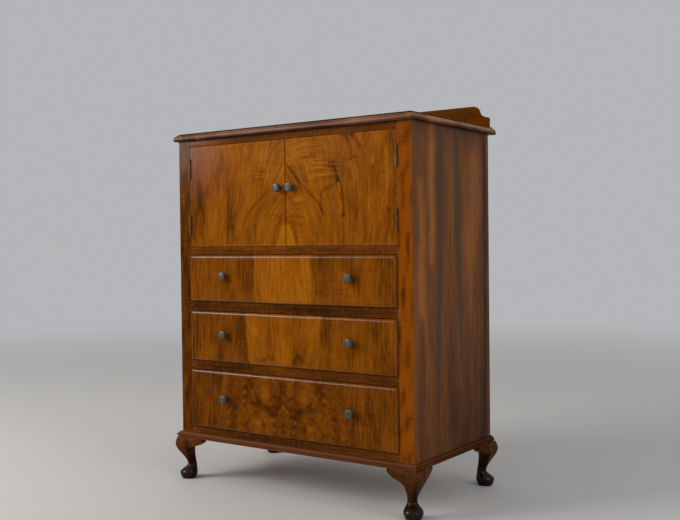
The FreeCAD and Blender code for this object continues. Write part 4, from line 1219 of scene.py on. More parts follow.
for number in (1, 2, 3):
    low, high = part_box(f"drawer_{number}_front")
    bottom_low, bottom_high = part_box(f"drawer_{number}_bottom")
    side_low, side_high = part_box(f"drawer_{number}_side_left")
    inset, inner, lap = DRAWER_ROUND + QUIRK_WIDE, -side_high.x, low.y + LAP_DEEP
    joints = [joint / 1000 for joint in DRAWER_JOINTS[number]]
    across = lines(low.x + inset, high.x - inset, VENEER_PITCH, joints)
    upright = lines(low.z + inset, high.z - inset, VENEER_PITCH)
    steps = [(0, QUIRK_DEEP), (QUIRK_WIDE, QUIRK_DEEP), (QUIRK_WIDE, 0)]
    steps += round_steps(QUIRK_WIDE, 0, DRAWER_ROUND, 8) + [(inset, LAP_DEEP)]
    face = slab("field", lambda a, u, d: (a + leaned(number, a, u), low.y + d, u), across, upright, steps)
    core = edged_box("core", (-inner, lap - CORE_LAP, low.z), (inner, high.y, high.z), CORE_ARRIS)
    tails, pins = tail_shapes(side_low.z, side_high.z, lap, high.y)
    blocks = [prism("pin", pin, "x", sorted((sign * inner, sign * high.x)))
              for pin in pins for sign in (-1, 1)]
    front = join(f"veneered_drawer_{number}", [face, core] + blocks)
    dress(front, f"drawer_{number}", "drawer_veneer", [f"drawer_{number}_front"],
          drawer_fields(number, low.y), wear=0.35, wear_reach=0.004)
    for side, sign in SIDES:
        inner_x, outer_x = sign * inner, sign * high.x
        outline = side_outline(inner_x, outer_x, sign * bottom_high.x, side_low.z, side_high.z,
                               bottom_low.z, bottom_high.z)
        board = prism("board", outline, "y", lines(high.y, side_high.y, SIDE_LEVELS))
        blocks = [prism("tail", tail, "x", sorted((inner_x, outer_x))) for tail in tails]
        board = join(f"dovetailed_side_{number}_{side}", [board] + blocks)
        dress(board, f"drawer_{number}", "drawer_lining", [f"drawer_{number}_side_{side}"],
              straight_grain("y", number + sign * 0.4, 0.003, 0.3, 0.02, 0.12, 100 + number), wear=0.3)
    print(f"drawer {number}: front {high.x - low.x:.3f} by {high.z - low.z:.4f} m, {TAILS} tails a side")

# %% [markdown]
# ## The top
#
# The top is a solid board with a bold round edge on its front and sides, below a small square step, and its
# front corners are eased. This is the edge everybody touches. Its varnish has been rubbed off to a greyish
# bloom, with chips that show bare wood. The upper half of the round is painted pale, palest on the sides,
# partly for this wear and partly as a painted highlight where the round faces up into the light. The lower
# half is painted darker as painted shade, and the step is painted dark. All this is painted by how far round
# the edge a point lies.

# %% Worn edge of the top
def top_fields(low, high):
    def fields(places, middles):
        x, y, z = places[:, 0], places[:, 1], places[:, 2]
        fall = 1000 * (high.z - z)
        inward = high.x - np.abs(middles[:, 0])
        sides = (inward < 0.013) & (inward < middles[:, 1] - low.y)
        travel = np.where(sides, y + 1.0 * np.sign(x), x)
        on_nose = ramp(fall, 2.6, 4.5)
        patches = drift(travel, z * 0.5, 0.16, 111) + 0.5 * drift(travel, z, 0.05, 112)
        chips = (drift(travel, z * 1.5, 0.035, 113, 8) > 1.35) * on_nose
        shade = -0.02 + 0.06 * drift(x, y * 3, 0.3, 114)
        # The upper nose is paler, most on the sides: wear, bare chips, and a painted highlight where the
        # round faces up
        shade += on_nose * (0.07 + 0.12 * patches + 0.11 * sides) + 0.5 * chips
        # The step above the round is painted dark
        shade -= 0.6 * ramp(fall, 0.2, 0.8) * (1 - ramp(fall, 3.0, 4.6))
        # Painted shade on the lower half of the round, which faces down
        shade -= 0.24 * ramp(fall, 13, 18) + 0.14 * ramp(fall, 18, 22)
        grain = np.stack([travel + 0.4, np.where(sides, x, y + 0.006 * drift(x, y, 0.4, 115)), z], axis=1)
        # Wear and pale stain on the upper half of the round stand for wear and a painted highlight together
        upper = 1 - ramp(fall, 11, 17)
        wear = on_nose * upper * np.clip(0.1 + 0.2 * patches, 0, 1)
        return {"grain": grain, "tone": shade, "ripple": np.zeros_like(x), "wear": wear,
                "stain": on_nose * upper * sides * np.clip(0.7 + 0.3 * patches, 0, 1),
                "polish": 0.18 * on_nose * (1 - sides)}
    return fields


print("wear of the top can be painted")

# %% Top board
TOP_NOSE, TOP_FILLET, TOP_ARRIS, CORNER_CUT = 0.012, 0.003, 0.0006, 0.005
NOSE_FLATNESS, TOP_PITCH, NEAR = 1.2, 0.008, 1e-5
# The lower edge of the top as (inwards, up from the underside)
UNDER_STEPS = [(0, 0.003), (0.0008, 0.001), (0.002, 0)]
low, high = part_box("top_board")
border = TOP_NOSE + TOP_ARRIS
across = lines(low.x + border, high.x - border, TOP_PITCH)
upright = lines(low.y + border, high.y, TOP_PITCH)
thick = high.z - low.z
steps = [(TOP_ARRIS * 0.7, TOP_ARRIS * 0.2), (TOP_ARRIS, TOP_ARRIS), (TOP_ARRIS, TOP_FILLET)]
steps += round_steps(TOP_ARRIS, TOP_FILLET, TOP_NOSE, 10, NOSE_FLATNESS)
steps += [(border - inset, thick - rise) for inset, rise in UNDER_STEPS]
top = slab("moulded_top", lambda a, u, d: (a, u, high.z - d), across, upright, steps, grow=(1, 1, 1, 0))
work = bmesh.new()
work.from_mesh(top.data)
mitres = [edge for edge in work.edges
          if all(abs((high.x - abs(v.co.x)) - (v.co.y - low.y)) < NEAR and v.co.y < low.y + border - NEAR
                 for v in edge.verts)]
bmesh.ops.bevel(work, geom=mitres, offset=CORNER_CUT, segments=4, affect="EDGES", profile=0.5)
work.to_mesh(top.data)
work.free()
dress(top, "carcass", "top_walnut", ["top_board"], top_fields(low, high))
print("top:", round(high.x - low.x, 3), "by", round(high.y - low.y, 3), "m, corner edges eased:", len(mitres))

# %% [markdown]
# ## The gallery
#
# A low board stands along the back of the top and keeps things from falling down behind. It ends in an old
# shape: upright, a short step, a hollow, and a round shoulder. The outline is drawn with arcs and the front
# and back edges are eased by shrinking the outline a little at both faces.

# %% Arcs and plates
def arc_between(start, end, radius, side, count):
    """Points after start, along an arc to end that bulges to one side."""
    first, last = Vector(start), Vector(end)
    chord = last - first
    normal = Vector((-chord.y, chord.x)).normalized() * side
    centre = (first + last) / 2 - normal * math.sqrt(radius ** 2 - (chord.length / 2) ** 2)
    begin, finish = first - centre, last - centre
    sweep = begin.angle_signed(finish)
    return [tuple(centre + Matrix.Rotation(-sweep * i / count, 2) @ begin) for i in range(1, count + 1)]


def inset_outline(outline, inset):
    """Closed outline moved inwards; it runs clockwise when seen with the second axis up."""
    moved = []
    for i, corner in enumerate(outline):
        here, before, after = Vector(corner), Vector(outline[i - 1]), Vector(outline[(i + 1) % len(outline)])
        first, second = (here - before).normalized(), (after - here).normalized()
        normals = [Vector((d.y, -d.x)) for d in (first, second)]
        middle = (normals[0] + normals[1]).normalized()
        moved.append(tuple(here + middle * inset / max(0.4, middle.dot(normals[0]))))
    return moved


def eased_plate(name, outline, low, high, arris, steps=3):
    """Plate whose rims are rounded: the outline shrinks towards both faces."""
    near = [(low + arris * (1 - math.sin(t)), arris * (1 - math.cos(t))) for t in reversed(quarter(steps))]
    far = [(high - arris * (1 - math.sin(t)), arris * (1 - math.cos(t))) for t in quarter(steps)]
    return loft(name, [[in_space("y", flat, level) for flat in inset_outline(outline, inset)]
                       for level, inset in near + far])


def settle_normals(piece):
    """Let the large faces decide the shading, then keep the result as a plain mesh."""
    piece.modifiers.new("weigh", "WEIGHTED_NORMAL").keep_sharp = True
    settled(piece)


print("plates can be eased")

# %% Gallery
STEP_END, COVE_END, SHOULDER_END = (0.018, 0.036), (0.032, 0.051), (0.054, 0.069)
COVE_RADIUS, SHOULDER_RADIUS, GALLERY_ARRIS = 0.02, 0.022, 0.0015
low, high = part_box("gallery")
left_end = [(0, 0), (0, 0.031), STEP_END] + arc_between(STEP_END, COVE_END, COVE_RADIUS, -1, 10)
left_end += arc_between(COVE_END, SHOULDER_END, SHOULDER_RADIUS, 1, 10)
length = high.x - low.x
right_end = [(length - along, rise) for along, rise in reversed(left_end)]
outline = [(low.x + along, low.z + rise) for along, rise in left_end + right_end]
gallery = eased_plate("shaped_gallery", outline, low.y, high.y, GALLERY_ARRIS)
dress(gallery, "carcass", "front_walnut", ["gallery"],
      straight_grain("x", 12.0, 0.004, 0.3, 0.02, 0.12, 120), wear=0.3, wear_reach=0.002)
settle_normals(gallery)
print("gallery:", len(outline), "points round its outline")

# %% [markdown]
# ## The base moulding
#
# Three boards are mitred round the foot of the carcass. Each has a square lip between a quarter round above
# and a smaller bead below. They are drawn as one outline swept along the board, with the end of each line
# moved back by as much as it stands in from the outer edge, which makes the mitre. The round and the bead are
# painted redder than the flat, partly for wear and partly as a painted highlight, most on the front board,
# and the two steps beside the lip are painted dark.

# %% Base profile
BEAD_IN, BEAD_HIGH, BEAD_EASE, LIP_EASE = 0.004, 0.006, 0.0022, 0.0008
OVOLO_IN, OVOLO_HIGH, OVOLO_ROUND, BOARD_WIDE = 0.0045, 0.0085, 0.008, 0.075
SWEEP_ROWS = 60


def base_profile(thick, width):
    """Outline as (distance in from the outer edge, height), going round: bead, lip and quarter round."""
    bead = [(BEAD_IN + BEAD_EASE * (1 - math.cos(t)), BEAD_EASE * (1 - math.sin(t)))
            for t in reversed(quarter(5))]
    lip_top = thick - OVOLO_HIGH
    lip = [(BEAD_IN, BEAD_HIGH), (LIP_EASE, BEAD_HIGH), (0, BEAD_HIGH + LIP_EASE), (0, lip_top - LIP_EASE),
           (LIP_EASE, lip_top), (OVOLO_IN, lip_top)]
    ovolo = [(OVOLO_IN + OVOLO_ROUND * (1 - math.cos(t)), thick - OVOLO_ROUND * (1 - math.sin(t)))
             for t in quarter(10)]
    return [(width, 0)] + bead + lip + ovolo + [(width, thick)]


def swept(name, profile, place, start, end, mitres):
    """Profile drawn from start to end; a mitre of 1 moves that end in step with the profile's depth."""
    rings = []
    for row in range(SWEEP_ROWS + 1):
        ring = []
        for inward, rise in profile:
            along = blend(start + inward * mitres[0], end - inward * mitres[1], row / SWEEP_ROWS)
            ring.append(place(along, inward, rise))
        rings.append(ring)
    return loft(name, rings)


def moulding_fields(grain, side, outer, floor, thick, rubbed):
    """Board grain; round and bead redder from wear and painted highlight; steps beside the lip dark."""
    def fields(places, middles):
        found = grain(places, middles)
        inward, rise = np.abs(places[:, side] - outer), places[:, 2] - floor
        moulded = np.abs(middles[:, side] - outer) < 3 * OVOLO_IN
        height, lip_top = middles[:, 2] - floor, thick - OVOLO_HIGH
        in_step = (inward > BEAD_IN - LIP_EASE) & (inward < OVOLO_IN + LIP_EASE) & (
            (np.abs(rise - BEAD_HIGH) < LIP_EASE / 2) | (np.abs(rise - lip_top) < LIP_EASE))
        bead, upper = (height > 0.0001) & (height < BEAD_HIGH), height > lip_top
        # The two steps beside the lip are painted darker
        found["tone"] = found["tone"] - 0.25 * in_step
        # Redder on the round and the bead: wear and a painted highlight, scaled by the last argument per
        # board
        redder = np.select([in_step, bead, upper], [0.15, 0.9, 0.5], 0.3)
        found["stain"] = rubbed * moulded * redder * (height > 0.0001)
        return found
    return fields


print("base profile: bead, lip and quarter round")

# %% Base boards
low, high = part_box("base_rail_front")
thick = high.z - low.z
profile = base_profile(thick, BOARD_WIDE)
front_board = swept("moulded_base_front", profile, lambda a, inward, rise: (a, low.y + inward, low.z + rise),
                    low.x, high.x, (1, 1))
grain = straight_grain("x", 15.0, 0.003, 0.4, 0.05, 0.1, 130)
dress(front_board, "carcass", "base_walnut", ["base_rail_front"],
      moulding_fields(grain, 1, low.y, low.z, thick, 1.0))
for side, sign in SIDES:
    side_low, side_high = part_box(f"base_rail_{side}")
    outer = side_high.x if sign > 0 else side_low.x
    board = swept(f"moulded_base_{side}", profile,
                  lambda a, inward, rise: (outer - sign * inward, a, side_low.z + rise),
                  side_low.y, side_high.y, (1, 0))
    grain = straight_grain("y", 17.0 + sign, 0.003, 0.4, -0.05, 0.1, 133)
    dress(board, "carcass", "base_walnut", [f"base_rail_{side}"],
          moulding_fields(grain, 0, outer, side_low.z, side_high.z - side_low.z, 0.35))
print("base boards: 3, profile of", len(profile), "points")

# %% [markdown]
# ## Cabriole legs
#
# A cabriole leg swells out at the knee, draws in to a thin ankle and spreads again into a pad. It is sawn
# from a square block and rounded with a spokeshave, more and more towards the foot, while the knee keeps the
# crisp corner of the block. Beside each knee an ear is glued on, which carries the curve up into the base.
# The leg is a stack of rings, each a square whose corners grow rounder on the way down.

# %% Leg rings
LEG_HIGH, LEG_INNER, LEG_TOP_OUT = 0.134, 0.028, 0.0125
KNEE_OUT, KNEE_LEVEL = 0.0175, 0.112
ANKLE_LEVEL, ANKLE_RADIUS, ANKLE_IN = 0.046, 0.014, 0.0205
PAD_LEVEL, PAD_RADIUS, PAD_IN, SOLE_RADIUS = 0.019, 0.0277, 0.0125, 0.021
KNEE_CORNER, FULLEST_CORNER = 0.08, 0.98
EAR_LONG, EAR_BACK, EAR_TIP_OUT, EAR_SWELL = 0.058, 0.016, 0.005, 0.001
EAR_ROOT_DROP, EAR_TIP_DROP, GLUE_LINE = 0.038, 0.01, 0.0002
KNEE_RINGS, SHIN_RINGS, FOOT_RINGS, SOLE_RINGS, EAR_RINGS, EAR_CURVE = 5, 24, 14, 9, 16, 8


def ring_of_square(low, high, roundness, level, side_steps=4, corner_steps=8):
    """Square between two marks on both axes, with rounded corners, as a ring of points."""
    half = (high - low) / 2
    corner = min(roundness, FULLEST_CORNER) * half
    middle = low + half
    ring = []
    for number in range(4):
        turn = Matrix.Rotation(math.pi / 2 * number, 2)
        straight = half - corner
        local = [Vector((-straight + 2 * straight * i / side_steps, -half)) for i in range(side_steps)]
        for angle in quarter(corner_steps)[:-1]:
            local.append(Vector((straight + corner * math.sin(angle), -straight - corner * math.cos(angle))))
        ring += [(middle + p.x, middle + p.y, level) for p in (turn @ q for q in local)]
    return ring


def ease(share):
    return (1 - math.cos(math.pi * share)) / 2


def leg_rings():
    """From the top of the knee down to the sole."""
    rings = []
    for step in range(KNEE_RINGS):
        share = step / KNEE_RINGS
        out = blend(LEG_TOP_OUT, KNEE_OUT, math.sin(math.pi / 2 * share))
        rings.append((-out, LEG_INNER, KNEE_CORNER, blend(LEG_HIGH, KNEE_LEVEL, share)))
    for step in range(SHIN_RINGS + 1):
        share = step / SHIN_RINGS
        front = blend(-KNEE_OUT, ANKLE_IN - ANKLE_RADIUS, ease(share))
        back = blend(LEG_INNER, ANKLE_IN + ANKLE_RADIUS, share ** 2.5)
        corner = blend(KNEE_CORNER, 1, share ** 1.5)
        rings.append((front, back, corner, blend(KNEE_LEVEL, ANKLE_LEVEL, share)))
    for step in range(1, FOOT_RINGS + 1):
        share = step / FOOT_RINGS
        centre, radius = blend(ANKLE_IN, PAD_IN, ease(share)), blend(ANKLE_RADIUS, PAD_RADIUS, ease(share))
        rings.append((centre - radius, centre + radius, 1, blend(ANKLE_LEVEL, PAD_LEVEL, share)))
    for step in range(1, SOLE_RINGS + 1):
        share = step / SOLE_RINGS
        radius = blend(SOLE_RADIUS, PAD_RADIUS, math.cos(math.pi / 2 * share))
        rings.append((PAD_IN - radius, PAD_IN + radius, 1, PAD_LEVEL * (1 - share)))
    return [ring_of_square(*ring) for ring in rings]


def ear_rings():
    """From the knee out to the tip of the ear."""
    rings = []
    for step in range(EAR_RINGS + 1):
        share = step / EAR_RINGS
        drop = blend(EAR_ROOT_DROP, EAR_TIP_DROP, 0.62 * share ** 0.6 + 0.38 * share ** 4)
        upper = blend(LEG_TOP_OUT, EAR_TIP_OUT, share)
        belly = blend(KNEE_OUT, EAR_TIP_OUT + EAR_SWELL, share)
        low = LEG_HIGH - drop
        face = [(-upper, LEG_HIGH), (-belly, LEG_HIGH - drop * 0.55), (-(upper + belly) / 2, low)]
        curve = []
        for i in range(EAR_CURVE + 1):
            t = i / EAR_CURVE
            weights = ((1 - t) * (1 - 2 * t), 4 * t * (1 - t), t * (2 * t - 1))
            out, level = (sum(w * p[k] for w, p in zip(weights, face)) for k in (0, 1))
            curve.append((max(out, -belly), level))
        along = LEG_INNER + GLUE_LINE + EAR_LONG * share
        rings.append([(along, py, pz) for py, pz in curve + [(EAR_BACK, low), (EAR_BACK, LEG_HIGH)]])
    return rings


print("rings of a leg:", len(leg_rings()), "and of an ear:", len(ear_rings()))

# %% Legs in their corners
def leg_fields(corner):
    def fields(places, middles):
        x, y, z = (places[:, i] for i in range(3))
        # Painted light and shade: the upper leg lighter, more on the legs at the left, which face the light,
        # and the ankle and foot darker
        lighter = 0.24 if corner.x < 0 else 0.18
        shade = lighter * ramp(z, 0.06, 0.115) - 0.22 * (1 - ramp(z, 0.035, 0.085))
        shade += 0.12 * drift(z * 1.5, x + y, 0.06, 141)
        grain = np.stack([z + corner.x * 3, x, y], axis=1)
        out = np.minimum(np.abs(x) - abs(corner.x), np.abs(np.abs(y) - abs(corner.y)))
        knee = np.exp(-((z - 0.1) / 0.035) ** 2) * np.clip(out * 90, 0, 1)
        return {"grain": grain, "tone": shade, "ripple": np.zeros_like(x), "wear": 0.25 * knee,
                "polish": 0.02 + 0.33 * (1 - ramp(z, 0.03, 0.06))}
    return fields


LEG_CORNERS = {
    "front_left": (-CARCASS_HALF, CARCASS_FRONT, 0), "front_right": (CARCASS_HALF, CARCASS_FRONT, 90),
    "back_right": (CARCASS_HALF, CARCASS_BACK, 180), "back_left": (-CARCASS_HALF, CARCASS_BACK, 270),
}
for name, (x, y, degrees) in LEG_CORNERS.items():
    stack, ear = leg_rings(), ear_rings()
    other_ear = [[(py, px, pz) for px, py, pz in ring] for ring in ear]
    leg = join(f"carved_leg_{name}", [loft("blank", stack), loft("ear", ear), loft("ear", other_ear)])
    leg.data.transform(Matrix.Translation((x, y, 0)) @ Matrix.Rotation(math.radians(degrees), 4, "Z"))
    dress(leg, "carcass", "leg_walnut", [f"leg_{name}"], leg_fields(Vector((x, y, 0))))
    settle_normals(leg)
print("legs: 4 of", len(stack), "rings")

# %% [markdown]
# ## Knobs
#
# Each knob is a small square cushion on a round neck, cast in one piece. A thin line runs round its face just
# inside the rim, and a stud through the wood ends in a six-sided nut. The knob is modelled once. Geometry
# Nodes then sets a copy on every point where a drawer or a door carries one.

# %% One knob
KNOB_HALF, KNOB_REACH, KNOB_THICK, KNOB_CORNER = 0.013, 0.02, 0.008, 0.008
NECK_CORNERS, FACE_ROUND, FACE_RISE, LINE_IN, LINE_HALF = 6, 0.003, 0.0007, 0.0043, 0.0004
# The neck as (out, radius), the back as (inwards from the edge, out), the face as (inwards, sunk)
NECK_STEPS = [(0.0, 0.0084), (0.0009, 0.0084), (0.0016, 0.0072), (0.004, 0.006), (0.008, 0.0056),
              (0.0112, 0.006)]
BACK_STEPS = [(0.0022, 0), (0.0006, 0.0006), (0, 0.002)]
FACE_STEPS = [(0.0038, 0.0005), (0.0042, 0.0008), (0.0048, 0.0008), (0.0053, 0.0004), (0.0078, 0.0001),
              (0.011, 0.0)]
# The nut and the stud as (radius, behind the board)
NUT_STEPS = [(0.0045, 0), (0.005, 0.0004), (0.005, 0.0034), (0.0044, 0.004)]
STUD_STEPS = [(0.0025, 0.003), (0.0025, 0.004), (0.002, 0.0042)]


def ring_on_knob(half, corner, out):
    flat = ring_of_square(-half, half, corner / half, 0.0, NECK_CORNERS, NECK_CORNERS)
    return [(px, -out, py) for px, py, _ in flat]


def knob_mesh():
    rings = [ring_on_knob(radius, radius, out) for out, radius in NECK_STEPS]
    back = KNOB_REACH - KNOB_THICK
    rings += [ring_on_knob(KNOB_HALF - inset, KNOB_CORNER, back + out) for inset, out in BACK_STEPS]
    for out, fall in round_steps(0, 0, FACE_ROUND, 6)[::-1]:
        rings.append(ring_on_knob(KNOB_HALF - FACE_ROUND + out, KNOB_CORNER, KNOB_REACH - FACE_RISE - fall))
    for inset, sink in FACE_STEPS:
        half = KNOB_HALF - inset
        rings.append(ring_on_knob(half, KNOB_CORNER * half / KNOB_HALF, KNOB_REACH - sink))
    return loft("knob", rings)


def knob_hollows(places):
    """Dirt round the neck and in the line on the face."""
    out = -places[:, 1]
    line = np.abs(np.max(np.abs(places[:, [0, 2]]), axis=1) - (KNOB_HALF - LINE_IN)) < LINE_HALF
    return np.clip((1 - ramp(out, 0.01, 0.0145)) + 0.6 * line * (out > 0.018), 0, 1)


def nut_mesh(hold):
    """Nut and the end of the stud behind a board of the given thickness."""
    def turned(name, sides, steps):
        return loft(name, [[(x, hold + out, z) for x, z, _ in circle(radius, 0, sides)]
                           for radius, out in steps])
    return join("nut", [turned("nut", 6, NUT_STEPS), turned("stud", 16, STUD_STEPS)])


print("knob:", 2 * KNOB_HALF, "m square, reaching", KNOB_REACH, "m")

# %% [markdown]
# ## Repeats with Geometry Nodes
#
# The tree below takes a mesh of loose points and one piece, and puts a copy of the piece on every point. Each
# copy can be spun about its own axis by a random amount, which is how screw slots end up in real hinges. The
# copies are made real, take their finish, and are kept as an ordinary mesh.

# %% Trees for repeats
class Group(Net):
    """A Geometry Nodes tree with named inputs, one of them the finish of what it makes."""

    def __init__(self, name, **wanted):
        super().__init__(bpy.data.node_groups.new(name, "GeometryNodeTree"))
        wanted["Finish"] = "Material"
        for socket, kind in wanted.items():
            self.tree.interface.new_socket(socket, in_out="INPUT", socket_type=f"NodeSocket{kind}")
        self.tree.interface.new_socket("Result", in_out="OUTPUT", socket_type="NodeSocketGeometry")
        given = self.tree.nodes.new("NodeGroupInput")
        self.asked = {socket: Flow(self, given.outputs[socket]) for socket in wanted}

    def realized(self, copies):
        return self.node("GeometryNodeRealizeInstances", {}, {"Geometry": copies})

    def lead_out(self, geometry):
        """Give the geometry its finish and make it the result."""
        finished = self.node("GeometryNodeSetMaterial", {},
                             {"Geometry": geometry, "Material": self.asked["Finish"]})
        self.feed(self.tree.nodes.new("NodeGroupOutput").inputs["Result"], finished)

    def worked_out(self, holder, **values):
        """The plain mesh that the tree makes of an object."""
        modifier = holder.modifiers.new(self.tree.name, "NODES")
        modifier.node_group = self.tree
        for item in self.tree.interface.items_tree:
            if item.name in values:
                modifier[item.identifier] = values[item.name]
        return settled(holder)


print("trees for repeats ready")

# %% Copies on points
def copier():
    net = Group("copies_on_points", Points="Geometry", Piece="Object", Turn="Rotation", Spin="Float",
                Seed="Int")
    piece = net.node("GeometryNodeObjectInfo", {}, {"Object": net.asked["Piece"]}, out="Geometry")
    chance = net.node("FunctionNodeRandomValue", {"data_type": "FLOAT"},
                      {"Min": 0.0, "Max": 1.0, "Seed": net.asked["Seed"]}, out="Value")
    spin = net.node("ShaderNodeCombineXYZ", {}, {"Z": chance * net.asked["Spin"]})
    spin = net.node("FunctionNodeEulerToRotation", {}, {0: spin})
    turned = net.node("FunctionNodeRotateRotation", {"rotation_space": "LOCAL"},
                      {0: net.asked["Turn"], 1: spin})
    net.lead_out(net.realized(net.node("GeometryNodeInstanceOnPoints", {}, {
        "Points": net.asked["Points"], "Instance": piece, "Rotation": turned})))
    return net


COPIER = copier()


def copies(name, piece, places, finish, turn=(0, 0, 0), spin=0.0, seed=1):
    """Plain mesh with a copy of the piece on each place."""
    mesh = bpy.data.meshes.new(name)
    mesh.from_pydata([tuple(p) for p in places], [], [])
    return COPIER.worked_out(stand(name, mesh), Piece=piece, Turn=turn, Spin=spin, Seed=seed,
                             Finish=FINISHES[finish])


print("copier inputs:", list(COPIER.asked))

# %% Knobs on drawers and doors
knob = knob_mesh()
paint(knob.data, "hollow", knob_hollows(corners_of(knob.data)[0]))
DOOR_THICK, DRAWER_THICK = 0.018, 0.022


def fit_knobs(node_name, body, hold):
    """Knobs with their nuts, one or a pair, where the solids have them."""
    low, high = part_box(node_name)
    spots = [(low.x + KNOB_HALF, low.y + KNOB_REACH, (low.z + high.z) / 2)]
    if high.x - low.x > 4 * KNOB_HALF:
        spots.append((high.x - KNOB_HALF, *spots[0][1:]))
    nut = nut_mesh(hold)
    paint_dirt(nut, 0.5)
    fitted = join(f"cast_{node_name}", [copies("heads", knob, spots, "knob_metal"),
                                        copies("nuts", nut, spots, "knob_metal")])
    bpy.data.objects.remove(nut)
    dress(fitted, body, "knob_metal", [node_name])
    return len(spots)


count = sum(fit_knobs(f"drawer_{n}_knobs", f"drawer_{n}", DRAWER_THICK) for n in (1, 2, 3))
count += sum(fit_knobs(f"door_{side}_knob", f"door_{side}", DOOR_THICK) for side in ("left", "right"))
bpy.data.objects.remove(knob)
print("knobs:", count)

# %% [markdown]
# ## Hinges and catches
#
# The doors hang on small brass butt hinges. Their leaves lie in shallow beds in the wood, a hair proud, and
# three knuckles turn on one pin. Every leaf has three countersunk screws, whose slots point where they
# happened to stop. A knuckle is a short drum and a leaf is a thin box. At the top each door has a ball catch,
# which snaps into a plate let into the rail.

# %% Hinge leaves
LEAF_PROUD, LEAF_ARRIS, NECK_ARRIS, NECK_LAP = 0.00015, 0.00025, 0.0002, 0.001
LEAF_THICK, LEAF_WIDE, HINGE_LONG, HINGE_FROM_END = 0.0014, 0.016, 0.063, 0.07
KNUCKLE_RADIUS, PIN_RADIUS, KNUCKLE_PLAY = 0.0032, 0.0015, 0.0003
LEAF_FOOT, PIN_X, PIN_Y = -0.2267, 0.384, -0.2302


def drum(name, centre, radius, low, high, sides=24, easing=0.0003):
    """Upright cylinder with eased rims."""
    steps = [(radius - easing, low), (radius, low + easing), (radius, high - easing), (radius - easing, high)]
    return loft(name, [circle(*step, sides, centre) for step in steps])


def leaf(side, low, surface, into, knuckles):
    """One leaf with its knuckles: surface is where the wood begins, into points into the wood."""
    near, far = sorted((surface - into * LEAF_PROUD, surface + into * LEAF_THICK))
    parts = [edged_box("plate", (near, LEAF_FOOT, low), (far, LEAF_FOOT + LEAF_WIDE, low + HINGE_LONG),
                       LEAF_ARRIS)]
    for start, end in knuckles:
        first = low + HINGE_LONG * start + (KNUCKLE_PLAY if start > 0 else 0)
        last = low + HINGE_LONG * end - (KNUCKLE_PLAY if end < 1 else 0)
        parts.append(drum("knuckle", (side * PIN_X, PIN_Y), KNUCKLE_RADIUS, first, last))
        parts.append(edged_box("neck", (near, PIN_Y, first), (far, LEAF_FOOT + NECK_LAP, last), NECK_ARRIS))
    return parts


print("hinge leaf:", LEAF_WIDE, "by", HINGE_LONG, "m")

# %% Screws
SCREW_PITCH, SCREW_HEAD, SCREW_SIDES, SCREW_PROUD = 0.021, 0.0032, 20, 0.00002
SLOT_HALF, SLOT_DEEP = 0.00032, 0.0005
SCREW_STEPS = [(0.001, -0.0012), (SCREW_HEAD - 0.0003, -0.0001), (SCREW_HEAD - 0.0002, 0.00005)]


def screw_mesh():
    """Countersunk head seen from above, slotted, facing up."""
    head = loft("screw", [circle(radius, level, SCREW_SIDES, start=0.5) for radius, level in SCREW_STEPS])
    work = bmesh.new()
    work.from_mesh(head.data)
    for sign in (-1, 1):
        bmesh.ops.bisect_plane(work, geom=work.verts[:] + work.edges[:] + work.faces[:],
                               plane_co=(0, sign * SLOT_HALF, 0), plane_no=(0, 1, 0))
    top = [f for f in work.faces if f.normal.z > 0.9 and abs(f.calc_center_median().y) < SLOT_HALF]
    bmesh.ops.inset_region(work, faces=top, thickness=0.00002, depth=0.0)
    for vertex in {v for f in top for v in f.verts}:
        vertex.co.z -= SLOT_DEEP
    work.to_mesh(head.data)
    work.free()
    return head


screw = screw_mesh()
paint(screw.data, "hollow", (corners_of(screw.data)[0][:, 2] < -0.0003).astype(float))
print("screw head:", 2 * SCREW_HEAD, "m across")

# %% Hinges
OUTER_KNUCKLES, MIDDLE_KNUCKLE = ((0, 1 / 3), (2 / 3, 1)), ((1 / 3, 2 / 3),)
OPENING_HALF, DOOR_GAP = 0.3845, 0.001
door_low, door_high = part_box("door_left_panel")
HINGE_FEET = [door_low.z - DOOR_GAP + HINGE_FROM_END - HINGE_LONG / 2,
              door_high.z + DOOR_GAP - HINGE_FROM_END - HINGE_LONG / 2]
screw_total = 0
for name, side in SIDES:
    kinds = ((f"hinge_leaves_{name}", "carcass", side * OPENING_HALF, side, OUTER_KNUCKLES),
             (f"door_{name}_hinge_leaves", f"door_{name}", side * (OPENING_HALF - DOOR_GAP), -side,
              MIDDLE_KNUCKLE))
    for node_name, body, surface, into, knuckles in kinds:
        parts = [p for low in HINGE_FEET for p in leaf(side, low, surface, into, knuckles)]
        leaves = join(f"brass_{node_name}", parts)
        near_edge = corners_of(leaves.data)[0][:, 1] < PIN_Y + 0.004
        paint(leaves.data, "hollow", 0.35 * near_edge.astype(float))
        dress(leaves, body, "hinge_brass", [node_name])
        spots = [(surface - into * (LEAF_PROUD + SCREW_PROUD), LEAF_FOOT + LEAF_WIDE / 2,
                  low + HINGE_LONG / 2 + SCREW_PITCH * step) for low in HINGE_FEET for step in (-1, 0, 1)]
        facing = (0, math.radians(-90 * into), 0)
        heads = copies(f"screws_{node_name}", screw, spots, "screw_steel", facing, math.tau,
                       7 + len(node_name))
        dress(heads, body, "screw_steel")
        screw_total += len(spots)
print("hinges:", 2 * len(HINGE_FEET), "screws:", screw_total)

# %% Hinge pins
HEAD_OVER, HEAD_PROUD = 0.0005, 0.0004
pins = [drum("pin", (side * PIN_X, PIN_Y), PIN_RADIUS + HEAD_OVER, low - HEAD_PROUD,
             low + HINGE_LONG + HEAD_PROUD, 20, HEAD_OVER) for side in (-1, 1) for low in HINGE_FEET]
pins = join("turned_hinge_pins", pins)
paint_dirt(pins, 0.2)
dress(pins, "carcass", "hinge_brass", ["hinge_pins"])
print("hinge pins:", 2 * len(HINGE_FEET))

